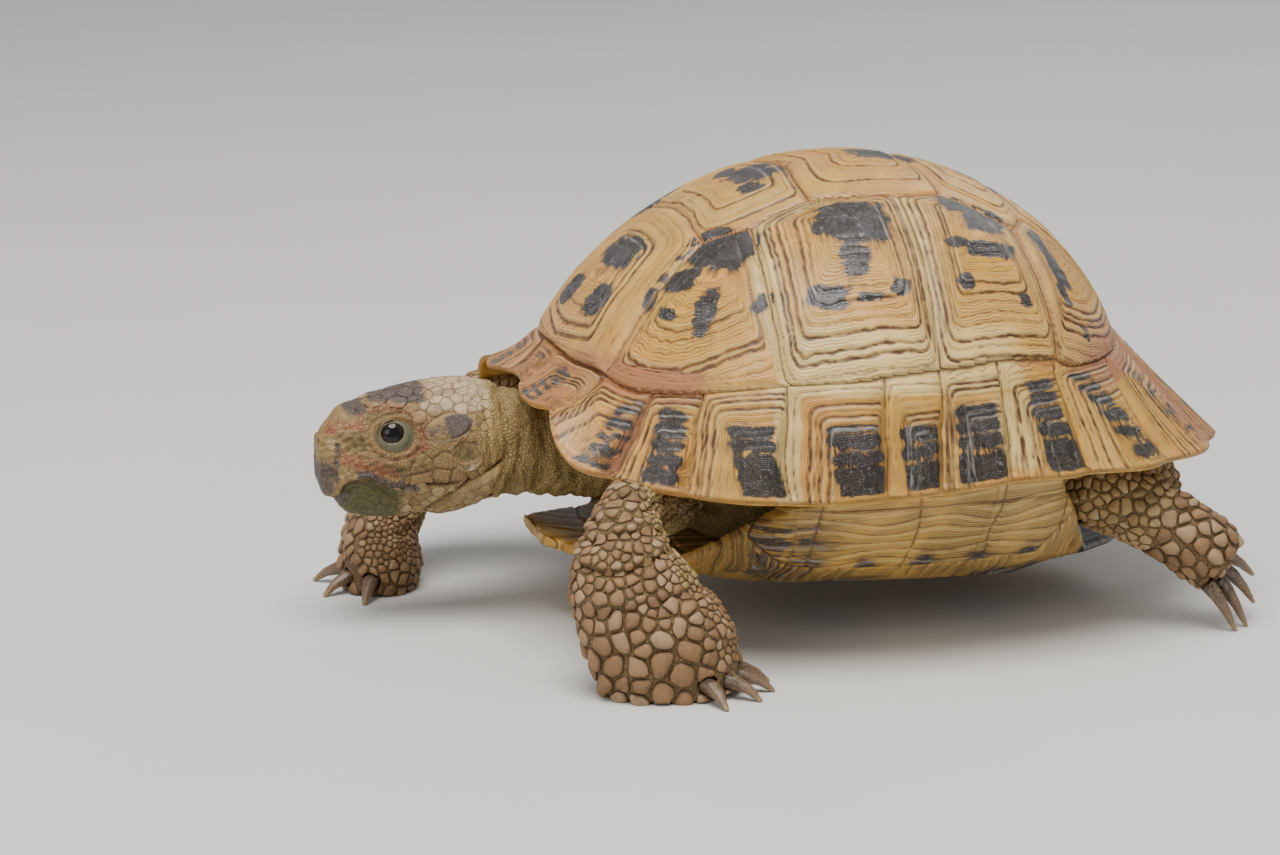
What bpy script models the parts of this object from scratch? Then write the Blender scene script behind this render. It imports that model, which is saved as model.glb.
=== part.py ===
"""A walking Horsfield's tortoise (Testudo horsfieldii), life size, as a still museum model.

It faces -X, with +Z up, and stands on the floor at Z = 0. The shell has a frame of its own:
its origin is over the middle of the body, at the height of the rim at the sides.
"""

import math

import bmesh
import bpy
from mathutils import Matrix, Vector

MM = 0.001
GAP = 0.35 * MM

# The shell, in its own frame. Directions run round it from the front (0) by the left side.
SHELL_HEIGHT = 56.3 * MM
RIM_PLAN = (75 * MM, 64 * MM, 76.5 * MM)  # front, side, rear
DOME_PLAN = (67 * MM, 61.5 * MM, 57 * MM)
DOME_FULLNESS = (1.8, 2.15, 2.1)
MARGINAL_TOP = (19 * MM, 21 * MM, 25 * MM)
MARGINAL_BULGE = (0.45, 0.45, 0.05)
PLAN_FULLNESS = 2.2
RIM_THICKNESS = 1.6 * MM
# Height of the rim in mm, at even steps from the front round to the rear.
RIM_RISE = (
    11.6, 11.2, 9.9, 9.5, 1.8, 0.0, -0.9, -1.2, -1.2, -0.9, -0.3, 0.6, 1.5,
    2.6, 3.4, 3.6, 3.6, 3.4, 3.2, 3.1, 3.0, 2.6, 2.0, 1.2, 0.5,
)
RIM_STEP = 7.5  # degrees
# Where one marginal scute ends and the next begins, in degrees from the front.
MARGINAL_SEAMS = (-4.5, 4.5, 20.5, 34.5, 47.5, 63.5, 80, 89.5, 102, 117.5, 136, 154, 171, 189)
# How far the rim stands out past its plan in mm: at each seam, and added along each scute.
SEAM_REACH = (-5.8, -5.8, -2.4, -0.4, -0.6, -0.5, -0.4, -0.4, -0.6, -0.8, -1.0, -1.0, -0.8, -0.8)
SCUTE_BOWS = (-0.5, 1.8, 4.3, 1.3, 1.0, 0.8, 0.7, 0.9, 1.4, 1.7, 1.8, 1.5, 1.0)
REAR_LEAN = 1.5
BASE_RISE = 5 * MM
POCKET_DEPTHS = (17.5 * MM, 10.5 * MM, 17.5 * MM)
DIRECTION_STEP = 6.2  # degrees
DOME_RINGS = 8
MARGINAL_RINGS = 3
TRUNK_DIRECTIONS = 36
ROOF_CLEARANCE = 1 * MM
# The trunk is a bowl: height in mm above the plastron, and share of its full reach.
TRUNK_WALL = ((0.5, 0.4), (1.9, 0.54), (5.0, 0.69), (10.5, 0.82), (17.0, 0.91))

# How the body is carried while it walks.
RIM_HEIGHT = 35 * MM
NOSE_UP = math.radians(2.5)

PLASTRON_BOTTOM = -25.5 * MM
PLASTRON_THICKNESS = 3 * MM
PLASTRON_FRONT = -64 * MM
PLASTRON_REAR = 62 * MM
LOBE_HALF_WIDTH = 35 * MM
BRIDGE_INSET = 4 * MM
BRIDGE_DROP = 1.6 * MM  # how far its top edge stays below the carapace's rim
GULAR_LIFT = 3 * MM
REAR_LIFT = 3.5 * MM
BRIDGE_FROM, BRIDGE_TO = -36 * MM, 36 * MM
BRIDGE_BLEND = 12 * MM

SNOUT = Vector((-107.4 * MM, 0, 34 * MM))
MOUTH_CORNER = 25 * MM
MOUTH_HEIGHT = -6.4 * MM
BEAK_HOOK = 3.0 * MM
EYE_RADIUS = 3.8 * MM
EYE_CENTRE = Vector((13.0 * MM, 5.4 * MM, 5.6 * MM))  # back from the snout, out, up

SKIN_TAN = (0.42, 0.31, 0.17, 1)
SKIN_YELLOW = (0.50, 0.38, 0.16, 1)
SHELL_TAN = (0.55, 0.36, 0.17, 1)
PLASTRON_YELLOW = (0.45, 0.32, 0.12, 1)
HORN = (0.45, 0.30, 0.17, 1)
EYE_BLACK = (0.01, 0.009, 0.008, 1)


def clear_scene():
    for obj in list(bpy.data.objects):
        bpy.data.objects.remove(obj)


def material(name, colour, roughness=0.6):
    made = bpy.data.materials.new(name)
    made.use_nodes = True
    shader = made.node_tree.nodes["Principled BSDF"]
    shader.inputs["Base Color"].default_value = colour
    shader.inputs["Roughness"].default_value = roughness
    shader.inputs["Metallic"].default_value = 0.0
    return made


def collection(name, shown=True):
    made = bpy.data.collections.new(name)
    made.hide_render = not shown
    bpy.context.scene.collection.children.link(made)
    return made


def smooth_step(value):
    value = min(1.0, max(0.0, value))
    return value * value * (3 - 2 * value)


def spline(values, place):
    """A smooth curve through evenly numbered values, read at place (0 to len - 1)."""
    last = len(values) - 1
    index = min(int(place), last - 1)
    local = place - index
    before = values[max(index - 1, 0)]
    start, end = values[index], values[index + 1]
    after = values[min(index + 2, last)]
    square, cube = local**2, local**3
    return 0.5 * (
        2 * start
        + (end - before) * local
        + (2 * before - 5 * start + 4 * end - after) * square
        + (3 * start - before - 3 * end + after) * cube
    )


def mesh_object(name, mesh, look, home):
    mesh.materials.append(look)
    obj = bpy.data.objects.new(name, mesh)
    home.objects.link(obj)
    return obj


def loft(name, rings, look, home):
    """A closed solid through rings of equally many points, with a flat cap at each end."""
    shape = bmesh.new()
    rows = [[shape.verts.new(point) for point in ring] for ring in rings]
    count = len(rows[0])
    for row, following in zip(rows, rows[1:]):
        for k in range(count):
            after = (k + 1) % count
            shape.faces.new((row[k], row[after], following[after], following[k]))
    shape.faces.new(reversed(rows[0]))
    shape.faces.new(rows[-1])
    bmesh.ops.triangulate(shape, faces=shape.faces)
    bmesh.ops.recalc_face_normals(shape, faces=shape.faces)
    mesh = bpy.data.meshes.new(name)
    shape.to_mesh(mesh)
    shape.free()
    mesh.shade_smooth()
    mesh.set_sharp_from_angle(angle=math.radians(50))
    return mesh_object(name, mesh, look, home)


def oval_ring(centre, across, upward, half_width, top, bottom, count, fullness=2.0):
    """An oval that may reach further down than up. fullness over 2 squares it."""
    ring = []
    for k in range(count):
        angle = 2 * math.pi * k / count
        side, rise = math.cos(angle), math.sin(angle)
        size = (abs(side) ** fullness + abs(rise) ** fullness) ** (-1 / fullness)
        reach = top if rise > 0 else bottom
        ring.append(centre + across * side * size * half_width + upward * rise * size * reach)
    return ring


# ---------------------------------------------------------------- shell


def blended(values, direction):
    """One of front, side and rear values, blended round the shell."""
    front, side, rear = values
    along = math.cos(direction)
    end = front if along > 0 else rear
    return side + (end - side) * along * along


def plan_radius(plan, direction):
    front, side, rear = plan
    along, across = math.cos(direction), math.sin(direction)
    length = front if along > 0 else rear
    reach = (abs(along) / length) ** PLAN_FULLNESS + (abs(across) / side) ** PLAN_FULLNESS
    return reach ** (-1 / PLAN_FULLNESS)


def folded(direction):
    """The direction in degrees from the front, the same on both sides."""
    turn = math.degrees(direction) % 360
    return min(turn, 360 - turn)


def rim_height(direction):
    """The rim arches over the neck and flares up over the hind legs."""
    return spline(RIM_RISE, folded(direction) / RIM_STEP) * MM


def rim_radius(direction):
    """Each marginal scute bows out between its two seams, further back on the rear ones."""
    turn = folded(direction)
    number = max(k for k, seam in enumerate(MARGINAL_SEAMS[:-1]) if seam <= turn)
    start, end = MARGINAL_SEAMS[number : number + 2]
    across = (turn - start) / (end - start)
    lean = REAR_LEAN if 89 < start < 170 else 1
    seam_reach = SEAM_REACH[number] * (1 - across) + SEAM_REACH[number + 1] * across
    bow = SCUTE_BOWS[number] * math.sin(math.pi * across**lean)
    return plan_radius(RIM_PLAN, direction) + (seam_reach + bow) * MM


def meridian(direction, share):
    """(radius, height) on the outer surface: share 0 is the top, 1 the top of the marginals, 2 the rim."""
    radius = plan_radius(DOME_PLAN, direction)
    power = 2 / blended(DOME_FULLNESS, direction)
    seam = blended(MARGINAL_TOP, direction)
    last = math.acos((seam / SHELL_HEIGHT) ** (1 / power))

    def dome(angle):
        return Vector((radius * math.sin(angle) ** power, SHELL_HEIGHT * math.cos(angle) ** power))

    if share <= 1:
        return dome(last * share)
    start = dome(last)
    end = Vector((rim_radius(direction), rim_height(direction)))
    lead = (start - dome(last - 0.01)).normalized() * (end - start).length
    lead *= blended(MARGINAL_BULGE, direction)
    t = share - 1
    return start * (1 - t) ** 2 + (start + lead) * 2 * t * (1 - t) + end * t**2


def round_shell(direction, radius, height):
    return Vector((-radius * math.cos(direction), -radius * math.sin(direction), height))


def even_directions(count):
    return [2 * math.pi * k / count for k in range(count)]


def scute_directions():
    """Directions all round that follow the marginal seams, with steps between them."""
    turns = []
    for start, end in zip(MARGINAL_SEAMS[:-1], MARGINAL_SEAMS[1:]):
        steps = max(2, math.ceil((end - start) / DIRECTION_STEP))
        turns += [start + (end - start) * k / steps for k in range(steps)]
        if 0 < start and end < 180:
            turns += [-(start + (end - start) * (k + 1) / steps) for k in range(steps)]
    return sorted(math.radians(turn) for turn in turns)


def shell_ring(place, directions):
    """place(direction) gives (radius, height)."""
    return [round_shell(direction, *place(direction)) for direction in directions]


def pocket_wall(direction):
    """How far out the flesh between the two shells reaches."""
    return plan_radius(RIM_PLAN, direction) - blended(POCKET_DEPTHS, direction)


def rim_edge(direction):
    return (
        rim_radius(direction) - 0.6 * MM,
        rim_height(direction) - RIM_THICKNESS * 0.7,
    )


def rim_lip(direction):
    return rim_radius(direction) - 2.6 * MM, rim_height(direction) - 0.3 * MM


def rim_root(direction):
    return pocket_wall(direction) + 4 * MM, max(rim_height(direction), 0) + BASE_RISE / 2


def ceiling_edge(direction):
    return pocket_wall(direction), max(rim_height(direction), 0) + BASE_RISE


def ceiling_middle(direction):
    return pocket_wall(direction) * 0.6, BASE_RISE * 1.6


def shifted(place, inward, upward):
    return lambda direction: (place(direction)[0] - inward, place(direction)[1] + upward)


def make_carapace(look, home):
    shares = [0.07] + [(k / DOME_RINGS) ** 0.85 for k in range(1, DOME_RINGS + 1)]
    shares += [1 + k / MARGINAL_RINGS for k in range(1, MARGINAL_RINGS + 1)]
    round_about = scute_directions()
    rings = [shell_ring(lambda a, s=share: meridian(a, s), round_about) for share in shares]
    for place in (rim_edge, rim_lip, rim_root, ceiling_edge, ceiling_middle):
        rings.append(shell_ring(place, round_about))
    return loft("carapace", rings, look, home)


def bridge_share(x):
    rise = smooth_step((x - BRIDGE_FROM + BRIDGE_BLEND) / (2 * BRIDGE_BLEND))
    fall = smooth_step((BRIDGE_TO + BRIDGE_BLEND - x) / (2 * BRIDGE_BLEND))
    return rise * fall


def rim_half_width(x):
    length = RIM_PLAN[0] if x < 0 else RIM_PLAN[2]
    reach = 1 - (abs(x) / length) ** PLAN_FULLNESS
    return RIM_PLAN[1] * reach ** (1 / PLAN_FULLNESS)


def plastron_half_width(x):
    middle = (PLASTRON_FRONT + PLASTRON_REAR) / 2
    half = (PLASTRON_REAR - PLASTRON_FRONT) / 2
    lobe = LOBE_HALF_WIDTH * (1 - min(1.0, abs(x - middle) / half) ** 3.2 * 0.72)
    bridge = rim_half_width(x) - BRIDGE_INSET
    return lobe + (bridge - lobe) * bridge_share(x)


def plastron_point(x, side, inner):
    """A point of the plate. side runs from -1, the right edge, to 1, the left one."""
    bridge = bridge_share(x)
    width, level = plastron_half_width(x), PLASTRON_BOTTOM
    level += GULAR_LIFT * smooth_step((-x - 45 * MM) / (22 * MM))
    level += REAR_LIFT * smooth_step((x - 22 * MM) / (45 * MM))
    top = rim_height(math.atan2(width, -x)) - BRIDGE_DROP - level
    if inner:
        width -= 0.8 * MM + 1.8 * MM * bridge
        level += PLASTRON_THICKNESS + (top - 1.2 * MM) * bridge * abs(side) ** 5
    else:
        level += (1.2 * MM + (top - 1.2 * MM) * bridge) * abs(side) ** 5
    return Vector((x, -width * side, level))


def make_plastron(look, home):
    stations, steps = 15, 10
    sides = [math.sin(math.pi / 2 * (2 * j / steps - 1)) for j in range(steps + 1)]
    rings = []
    for k in range(stations):
        x = PLASTRON_FRONT + (PLASTRON_REAR - PLASTRON_FRONT) * k / (stations - 1)
        outer = [plastron_point(x, side, False) for side in sides]
        rings.append(outer + [plastron_point(x, side, True) for side in reversed(sides)])
    return loft("plastron", rings, look, home)


def make_trunk(name, roof_rise, look, home):
    """The body between the two shells, which shows as skin in the leg pockets."""
    floor = PLASTRON_BOTTOM + PLASTRON_THICKNESS
    round_about = even_directions(TRUNK_DIRECTIONS)
    rings = []
    for rise, share in TRUNK_WALL:
        height = floor + rise * MM
        rings.append(shell_ring(lambda a, z=height, s=share: (pocket_wall(a) * s, z), round_about))
    rings.append(shell_ring(shifted(ceiling_edge, GAP, -ROOF_CLEARANCE), round_about))
    if roof_rise:
        rings.append(shell_ring(shifted(ceiling_edge, GAP, roof_rise), round_about))
    roof = shifted(ceiling_middle, GAP, roof_rise - ROOF_CLEARANCE)
    rings.append(shell_ring(roof, round_about))
    return loft(name, rings, look, home)


# ---------------------------------------------------------------- head and neck

# Back, half width, top and bottom in mm, all against SNOUT, which lies just inside the nose.
HEAD_STATIONS = (
    (-1.2, 2.8, 3.6, -5.0),
    (-0.6, 4.1, 6.2, -7.2),
    (0.8, 5.3, 8.6, -8.8),
    (3.2, 6.6, 10.9, -10.0),
    (8.5, 8.4, 12.4, -11.2),
    (15.5, 9.9, 14.2, -11.5),
    (22.4, 11.4, 15.2, -11.2),
    (29.0, 12.2, 15.2, -10.5),
    (34.0, 11.8, 14.0, -9.6),
)
NECK_STATIONS = (
    (34.0, 11.8, 14.0, -9.6),
    (38.0, 11.0, 12.8, -9.4),
    (44.0, 11.0, 11.6, -9.8),
    (52.0, 11.8, 11.0, -10.4),
    (60.0, 12.4, 10.6, -11.0),
)


def head_rings(stations, count, turns):
    rings = []
    for k in range(count):
        place = (len(stations) - 1) * k / (count - 1)
        back, half_width, top, bottom = (
            spline([station[axis] for station in stations], place) * MM for axis in range(4)
        )
        middle = (top + bottom) * 0.45
        centre = SNOUT + Vector((back, 0, middle))
        rings.append(
            oval_ring(
                centre,
                Vector((0, 1, 0)),
                Vector((0, 0, 1)),
                half_width,
                top - middle,
                middle - bottom,
                turns,
                2.25,
            )
        )
    return rings


def box_object(name, low, high, home):
    bpy.ops.mesh.primitive_cube_add(size=1)
    box = bpy.context.active_object
    box.name = name
    box.scale = high - low
    box.location = (low + high) / 2
    for owner in list(box.users_collection):
        owner.objects.unlink(box)
    home.objects.link(box)
    bpy.context.view_layer.update()
    box.data.transform(box.matrix_world)
    box.matrix_world = Matrix.Identity(4)
    hide_helper(box)
    return box


def hide_helper(obj):
    obj.hide_render = True
    obj.display_type = "WIRE"


def sphere_object(name, centre, radius, look, home, segments=14, rings=8):
    bpy.ops.mesh.primitive_uv_sphere_add(
        radius=radius, location=centre, segments=segments, ring_count=rings
    )
    ball = bpy.context.active_object
    ball.name = name
    for owner in list(ball.users_collection):
        owner.objects.unlink(ball)
    home.objects.link(ball)
    if look:
        ball.data.materials.append(look)
        ball.data.shade_smooth()
    return ball


def cut(obj, cutter, operation="DIFFERENCE"):
    modifier = obj.modifiers.new("cut_" + cutter.name, "BOOLEAN")
    modifier.operation = operation
    modifier.solver = "EXACT"
    modifier.object = cutter


def inflated(obj, amount, home):
    """A copy that stands out by amount on every side, for cutting its neighbours."""
    bpy.context.view_layer.update()
    evaluated = obj.evaluated_get(bpy.context.evaluated_depsgraph_get())
    mesh = bpy.data.meshes.new_from_object(evaluated)
    copy = bpy.data.objects.new(obj.name + "_cutter", mesh)
    home.objects.link(copy)
    copy.matrix_world = obj.matrix_world
    swell = copy.modifiers.new("swell", "DISPLACE")
    swell.strength = amount
    swell.mid_level = 0
    hide_helper(copy)
    return copy


def make_head(skin, horn, black, home, cutters):
    head = loft("head", head_rings(HEAD_STATIONS, 17, 20), skin, home)
    jaw = loft("lower_jaw", head_rings(HEAD_STATIONS, 17, 20), horn, home)
    for name, obj, slack, operation in (
        ("jaw_space", head, 0.0, "DIFFERENCE"),
        ("jaw_block", jaw, GAP, "INTERSECT"),
    ):
        box = box_object(
            name,
            SNOUT + Vector((BEAK_HOOK + slack, -20 * MM, -20 * MM)),
            SNOUT + Vector((MOUTH_CORNER - slack, 20 * MM, MOUTH_HEIGHT - slack)),
            cutters,
        )
        cut(obj, box, operation)
    for side, name in ((-1, "left"), (1, "right")):
        centre = SNOUT + Vector((EYE_CENTRE.x, side * EYE_CENTRE.y, EYE_CENTRE.z))
        sphere_object("eye_" + name, centre, EYE_RADIUS, black, home)
        socket = sphere_object(
            "eye_socket_" + name, centre, EYE_RADIUS + GAP * 1.4, None, cutters, 14, 8
        )
        hide_helper(socket)
        cut(head, socket)
    neck_rings = head_rings(NECK_STATIONS, 7, 20)
    neck_rings[0] = [point + Vector((GAP, 0, 0)) for point in neck_rings[0]]
    neck = loft("neck", neck_rings, skin, home)
    return head, neck


# ---------------------------------------------------------------- legs, claws and tail


def limb_rings(stations, count, turns, hint):
    """Rings along a path of (x, y, z, half width, half depth) in mm. hint points along the half width."""
    rows = [[value * MM for value in station] for station in stations]

    def read(place):
        values = [spline([row[axis] for row in rows], place) for axis in range(5)]
        return Vector(values[:3]), values[3], values[4]

    rings = []
    last = len(rows) - 1
    for k in range(count):
        place = last * k / (count - 1)
        centre, half_width, half_depth = read(place)
        ahead, behind = read(min(place + 0.1, last))[0], read(max(place - 0.1, 0))[0]
        along = (ahead - behind).normalized()
        across = (hint - along * hint.dot(along)).normalized()
        rings.append(
            oval_ring(
                centre, across, along.cross(across), half_width, half_depth, half_depth, turns, 2.2
            )
        )
    return rings


def trim_at_floor(obj):
    """Cuts the sole off flat at the floor."""
    shape = bmesh.new()
    shape.from_mesh(obj.data)
    cut_edges = bmesh.ops.bisect_plane(
        shape,
        geom=shape.verts[:] + shape.edges[:] + shape.faces[:],
        plane_co=(0, 0, 0),
        plane_no=(0, 0, -1),
        clear_outer=True,
    )["geom_cut"]
    edges = [item for item in cut_edges if isinstance(item, bmesh.types.BMEdge)]
    if edges:
        bmesh.ops.edgeloop_fill(shape, edges=edges)
    bmesh.ops.triangulate(shape, faces=shape.faces)
    bmesh.ops.recalc_face_normals(shape, faces=shape.faces)
    shape.to_mesh(obj.data)
    shape.free()


def make_claw(name, base, tip, radius, arch, look, home):
    """A tapered claw from inside the toe to its tip, arched upward between them."""
    along = tip - base
    across = along.cross(Vector((0, 0, 1))).normalized()
    stations = []
    for step in range(4):
        share = step / 3
        place = base + along * share + Vector((0, 0, arch * 4 * share * (1 - share)))
        size = radius * (1 - 0.78 * share**1.4)
        stations.append([value / MM for value in (*place, size, size * 0.85)])
    claw = loft(name, limb_rings(stations, 4, 7, across), look, home)
    trim_at_floor(claw)
    return claw


def fanned_claws(centre, reach, headings, length):
    """Base and tip of each claw of a planted foot, spread round the foot's end."""
    places = []
    for heading in headings:
        turn = math.radians(heading)
        outward = Vector((math.cos(turn) * reach[0], math.sin(turn) * reach[1], 0))
        base = Vector(centre) + outward
        places.append((base, base + outward.normalized() * length - Vector((0, 0, centre[2] - 0.2))))
    return places


# Each leg: its path from inside the body to the sole, as (x, y, z, half width, half depth) in mm,
# which way its width lies, how far down the foot begins, and the base and tip of each claw.
LEGS = {
    "front_left": {
        "path": (
            (-44, -26, 30, 8, 8),
            (-51.5, -38, 31, 6.6, 7.6),
            (-57.8, -48, 31, 5.8, 7.2),
            (-60, -54.5, 24.5, 10.4, 8.2),
            (-58.2, -58, 16, 12.6, 8.6),
            (-53.6, -60, 7.2, 14.0, 9.0),
            (-50.5, -60.5, -2, 11.6, 7.8),
        ),
        "hint": Vector((1, -0.15, 0)),
        "foot_from": 0.7,
        "claws": fanned_claws((-50, -60.5, 3.4), (9, 6.5), (-78, -50, -22, 8), 8),
    },
    "front_right": {
        "path": (
            (-43, 25, 33, 11, 11),
            (-57, 37, 34, 11, 10.5),
            (-72, 41, 29, 11, 9.2),
            (-84, 38, 20, 11, 7.8),
            (-89.5, 32, 11, 11.5, 7.6),
            (-91, 28, 4.5, 11.8, 8.6),
            (-91, 27, -2, 9.6, 7.2),
        ),
        "hint": Vector((0.25, 1, 0)),
        "foot_from": 0.7,
        "claws": fanned_claws((-91, 27, 3.4), (6.5, 8.5), (120, 160, 200, 240), 8),
    },
    "hind_left": {
        "path": (
            (30, -20, 30, 11, 11),
            (37, -32, 30, 10, 10),
            (44, -39.5, 26.8, 8.2, 8),
            (53, -43, 21.8, 7.0, 6.8),
            (60, -44.5, 17, 7.4, 6.6),
            (65, -45.5, 12.6, 6.6, 5.2),
        ),
        "hint": Vector((0.5, 0.2, 0.85)),
        "foot_from": 0.62,
        "claws": (
            (Vector((60.5, -49, 9.8)), Vector((66.5, -50.5, -0.1))),
            (Vector((63.5, -47.2, 10.3)), Vector((70, -48, -0.1))),
            (Vector((65.5, -44.5, 11.8)), Vector((73.5, -43.5, 3.4))),
            (Vector((66, -41.8, 13.6)), Vector((75, -39.5, 8.0))),
        ),
    },
    "hind_right": {
        "path": (
            (32, 22, 31, 12, 12),
            (42, 34, 32, 11, 11),
            (50, 44, 27, 10, 10),
            (51, 49, 17, 9.2, 9.2),
            (48.5, 51, 7, 10.4, 9.6),
            (46.5, 51.5, -2, 9.0, 8.2),
        ),
        "hint": Vector((1, 0.2, 0)),
        "foot_from": 0.66,
        "claws": fanned_claws((46, 51.5, 3.4), (7.8, 7), (120, 148, 176, 204), 9),
    },
}
LEG_RINGS = 13
LEG_TURNS = 14
CLAW_RADIUS = 1.9 * MM
CLAW_ARCH = 1.0 * MM


def make_leg(name, plan, skin, horn, home, cutters):
    """The upper leg, the foot and four claws set into it."""
    rings = limb_rings(plan["path"], LEG_RINGS, LEG_TURNS, plan["hint"])
    split = round(plan["foot_from"] * (LEG_RINGS - 1))
    upper = loft("leg_" + name, rings[: split + 1], skin, home)
    step = sum(rings[split + 1], Vector()) - sum(rings[split], Vector())
    lower_rings = [[point + step.normalized() * GAP for point in rings[split]]] + rings[split + 1 :]
    foot = loft("foot_" + name, lower_rings, skin, home)
    trim_at_floor(foot)
    for number, (base, tip) in enumerate(plan["claws"], 1):
        claw = make_claw(
            f"claw_{name}_{number}", base * MM, tip * MM, CLAW_RADIUS, CLAW_ARCH, horn, home
        )
        cut(foot, inflated(claw, GAP, cutters))
    return upper, foot


TAIL_PATH = (
    (54, 0, 30, 8, 7),
    (62, 0, 27.5, 6.8, 5.6),
    (68.5, -1, 23, 4.9, 4.2),
    (72.5, -2, 18, 3.2, 3.0),
    (74, -2.5, 14, 1.3, 1.3),
)


def make_tail(skin, home):
    return loft("tail", limb_rings(TAIL_PATH, 8, 12, Vector((0, 1, 0))), skin, home)


def stand_on_floor(home):
    """Centres the whole animal over the origin, seen from above."""
    bpy.context.view_layer.update()
    graph = bpy.context.evaluated_depsgraph_get()
    points = []
    for obj in home.objects:
        evaluated = obj.evaluated_get(graph)
        points += [evaluated.matrix_world @ v.co for v in evaluated.data.vertices]
    centre = [(min(p[i] for p in points) + max(p[i] for p in points)) / 2 for i in (0, 1)]
    return Matrix.Translation((-centre[0], -centre[1], 0))


def main():
    clear_scene()
    home = collection("tortoise")
    cutters = collection("cutters", shown=False)
    skin = material("skin", SKIN_TAN)
    pale_skin = material("pocket_skin", SKIN_YELLOW)
    shell = material("carapace", SHELL_TAN, 0.45)
    under = material("plastron", PLASTRON_YELLOW, 0.5)
    horn = material("horn", HORN, 0.4)
    black = material("eye", EYE_BLACK, 0.08)

    carried = (
        Matrix.Translation((0, 0, RIM_HEIGHT))
        @ Matrix.Rotation(NOSE_UP, 4, "Y")
    )
    carapace = make_carapace(shell, home)
    plastron = make_plastron(under, home)
    trunk = make_trunk("trunk", 0, pale_skin, home)
    # Limbs end at the trunk's wall. Its cutter runs up into the carapace, so no sliver is left.
    core = make_trunk("trunk_core", 3 * MM, pale_skin, cutters)
    hide_helper(core)
    for obj in (carapace, plastron, trunk, core):
        obj.matrix_world = carried
    carapace_cutter = inflated(carapace, GAP * 1.3, cutters)
    plastron_cutter = inflated(plastron, GAP * 1.3, cutters)
    trunk_cutter = inflated(core, GAP * 1.3, cutters)

    head, neck = make_head(skin, horn, black, home, cutters)
    limbs = [neck, make_tail(skin, home)]
    for name, plan in LEGS.items():
        limbs += make_leg(name, plan, skin, horn, home, cutters)
    for limb in limbs:
        for cutter in (carapace_cutter, plastron_cutter, trunk_cutter):
            cut(limb, cutter)

    to_centre = stand_on_floor(home)
    for obj in list(home.objects) + list(cutters.objects):
        obj.matrix_world = to_centre @ obj.matrix_world


main()
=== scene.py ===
"""A walking Horsfield's tortoise, life size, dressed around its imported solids.

It faces -X and stands on the floor at Z = 0. Sizes in the tables are in mm, the pieces in metres.
"""

import math
import random
from functools import cache, reduce
from itertools import compress, product

import bmesh
import bpy
import numpy as np
from bpy.props import FloatProperty, FloatVectorProperty, IntProperty, PointerProperty
from mathutils import Matrix, Vector, kdtree
from mathutils.bvhtree import BVHTree


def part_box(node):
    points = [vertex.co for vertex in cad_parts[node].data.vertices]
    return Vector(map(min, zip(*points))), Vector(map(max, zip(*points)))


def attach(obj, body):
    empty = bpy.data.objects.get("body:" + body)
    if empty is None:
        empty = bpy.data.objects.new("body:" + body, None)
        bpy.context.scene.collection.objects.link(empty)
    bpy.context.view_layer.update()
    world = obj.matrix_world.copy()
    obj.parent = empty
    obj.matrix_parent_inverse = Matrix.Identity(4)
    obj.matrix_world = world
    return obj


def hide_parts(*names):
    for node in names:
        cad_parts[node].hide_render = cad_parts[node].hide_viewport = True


bl_info = {
    "name": "Steppe tortoise",
    "version": (1, 0, 0),
    "blender": (4, 5, 0),
    "location": "View3D > Sidebar > Tortoise",
    "description": "Builds the shell, skin, scales, eyes and claws of a walking tortoise",
    "category": "Object",
}

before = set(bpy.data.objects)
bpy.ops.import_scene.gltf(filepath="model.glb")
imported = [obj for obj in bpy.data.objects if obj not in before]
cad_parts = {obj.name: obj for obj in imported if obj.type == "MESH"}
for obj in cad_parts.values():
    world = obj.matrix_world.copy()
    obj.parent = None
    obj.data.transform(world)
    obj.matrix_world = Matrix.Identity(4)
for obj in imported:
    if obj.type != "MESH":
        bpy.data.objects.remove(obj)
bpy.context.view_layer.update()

MM = 0.001
LEGS = ("front_left", "front_right", "hind_left", "hind_right")


# ------------ sizes and colours


def colour_property(name, description, value):
    return FloatVectorProperty(
        name=name, description=description, default=value, subtype="COLOR", size=3, min=0, max=1
    )


def length_property(name, description, millimetres):
    return FloatProperty(
        name=name, description=description, default=millimetres * MM, min=0, precision=5,
        unit="LENGTH", subtype="DISTANCE",
    )


def angle_property(name, description, degrees):
    return FloatProperty(
        name=name, description=description, default=math.radians(degrees), subtype="ANGLE"
    )


class ShellSettings(bpy.types.PropertyGroup):
    seed: IntProperty(name="Seed", description="Variation of the scutes", default=11)
    ledge: length_property("Ledge relief", "Depth of a strong growth ledge", 0.50)
    seam: length_property("Seam depth", "Depth of the furrow between two scutes", 0.60)
    horn: colour_property("Horn", "Main colour of the scutes", (0.60, 0.272, 0.046))
    ochre: colour_property("Ochre", "Yellow parts of the scutes", (0.55, 0.290, 0.036))
    # The underside colour is partly painted shade: darker than the horn's own colour, as if the
    # plastron and bridges lay in the shell's shadow.
    under: colour_property("Underside", "Main colour of the plastron", (0.225, 0.124, 0.012))
    cream: colour_property("Cream", "Youngest horn beside some seams", (0.74, 0.52, 0.19))
    rose: colour_property("Rose", "Pinkish brown horn", (0.42, 0.165, 0.07))
    line: colour_property("Lines", "Growth lines and seams", (0.10, 0.040, 0.014))
    blotch: colour_property("Blotch", "Dark blotches", (0.008, 0.0075, 0.0085))
    scratch: colour_property("Scratches", "Worn streaks in the blotches", (0.34, 0.31, 0.28))


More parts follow.
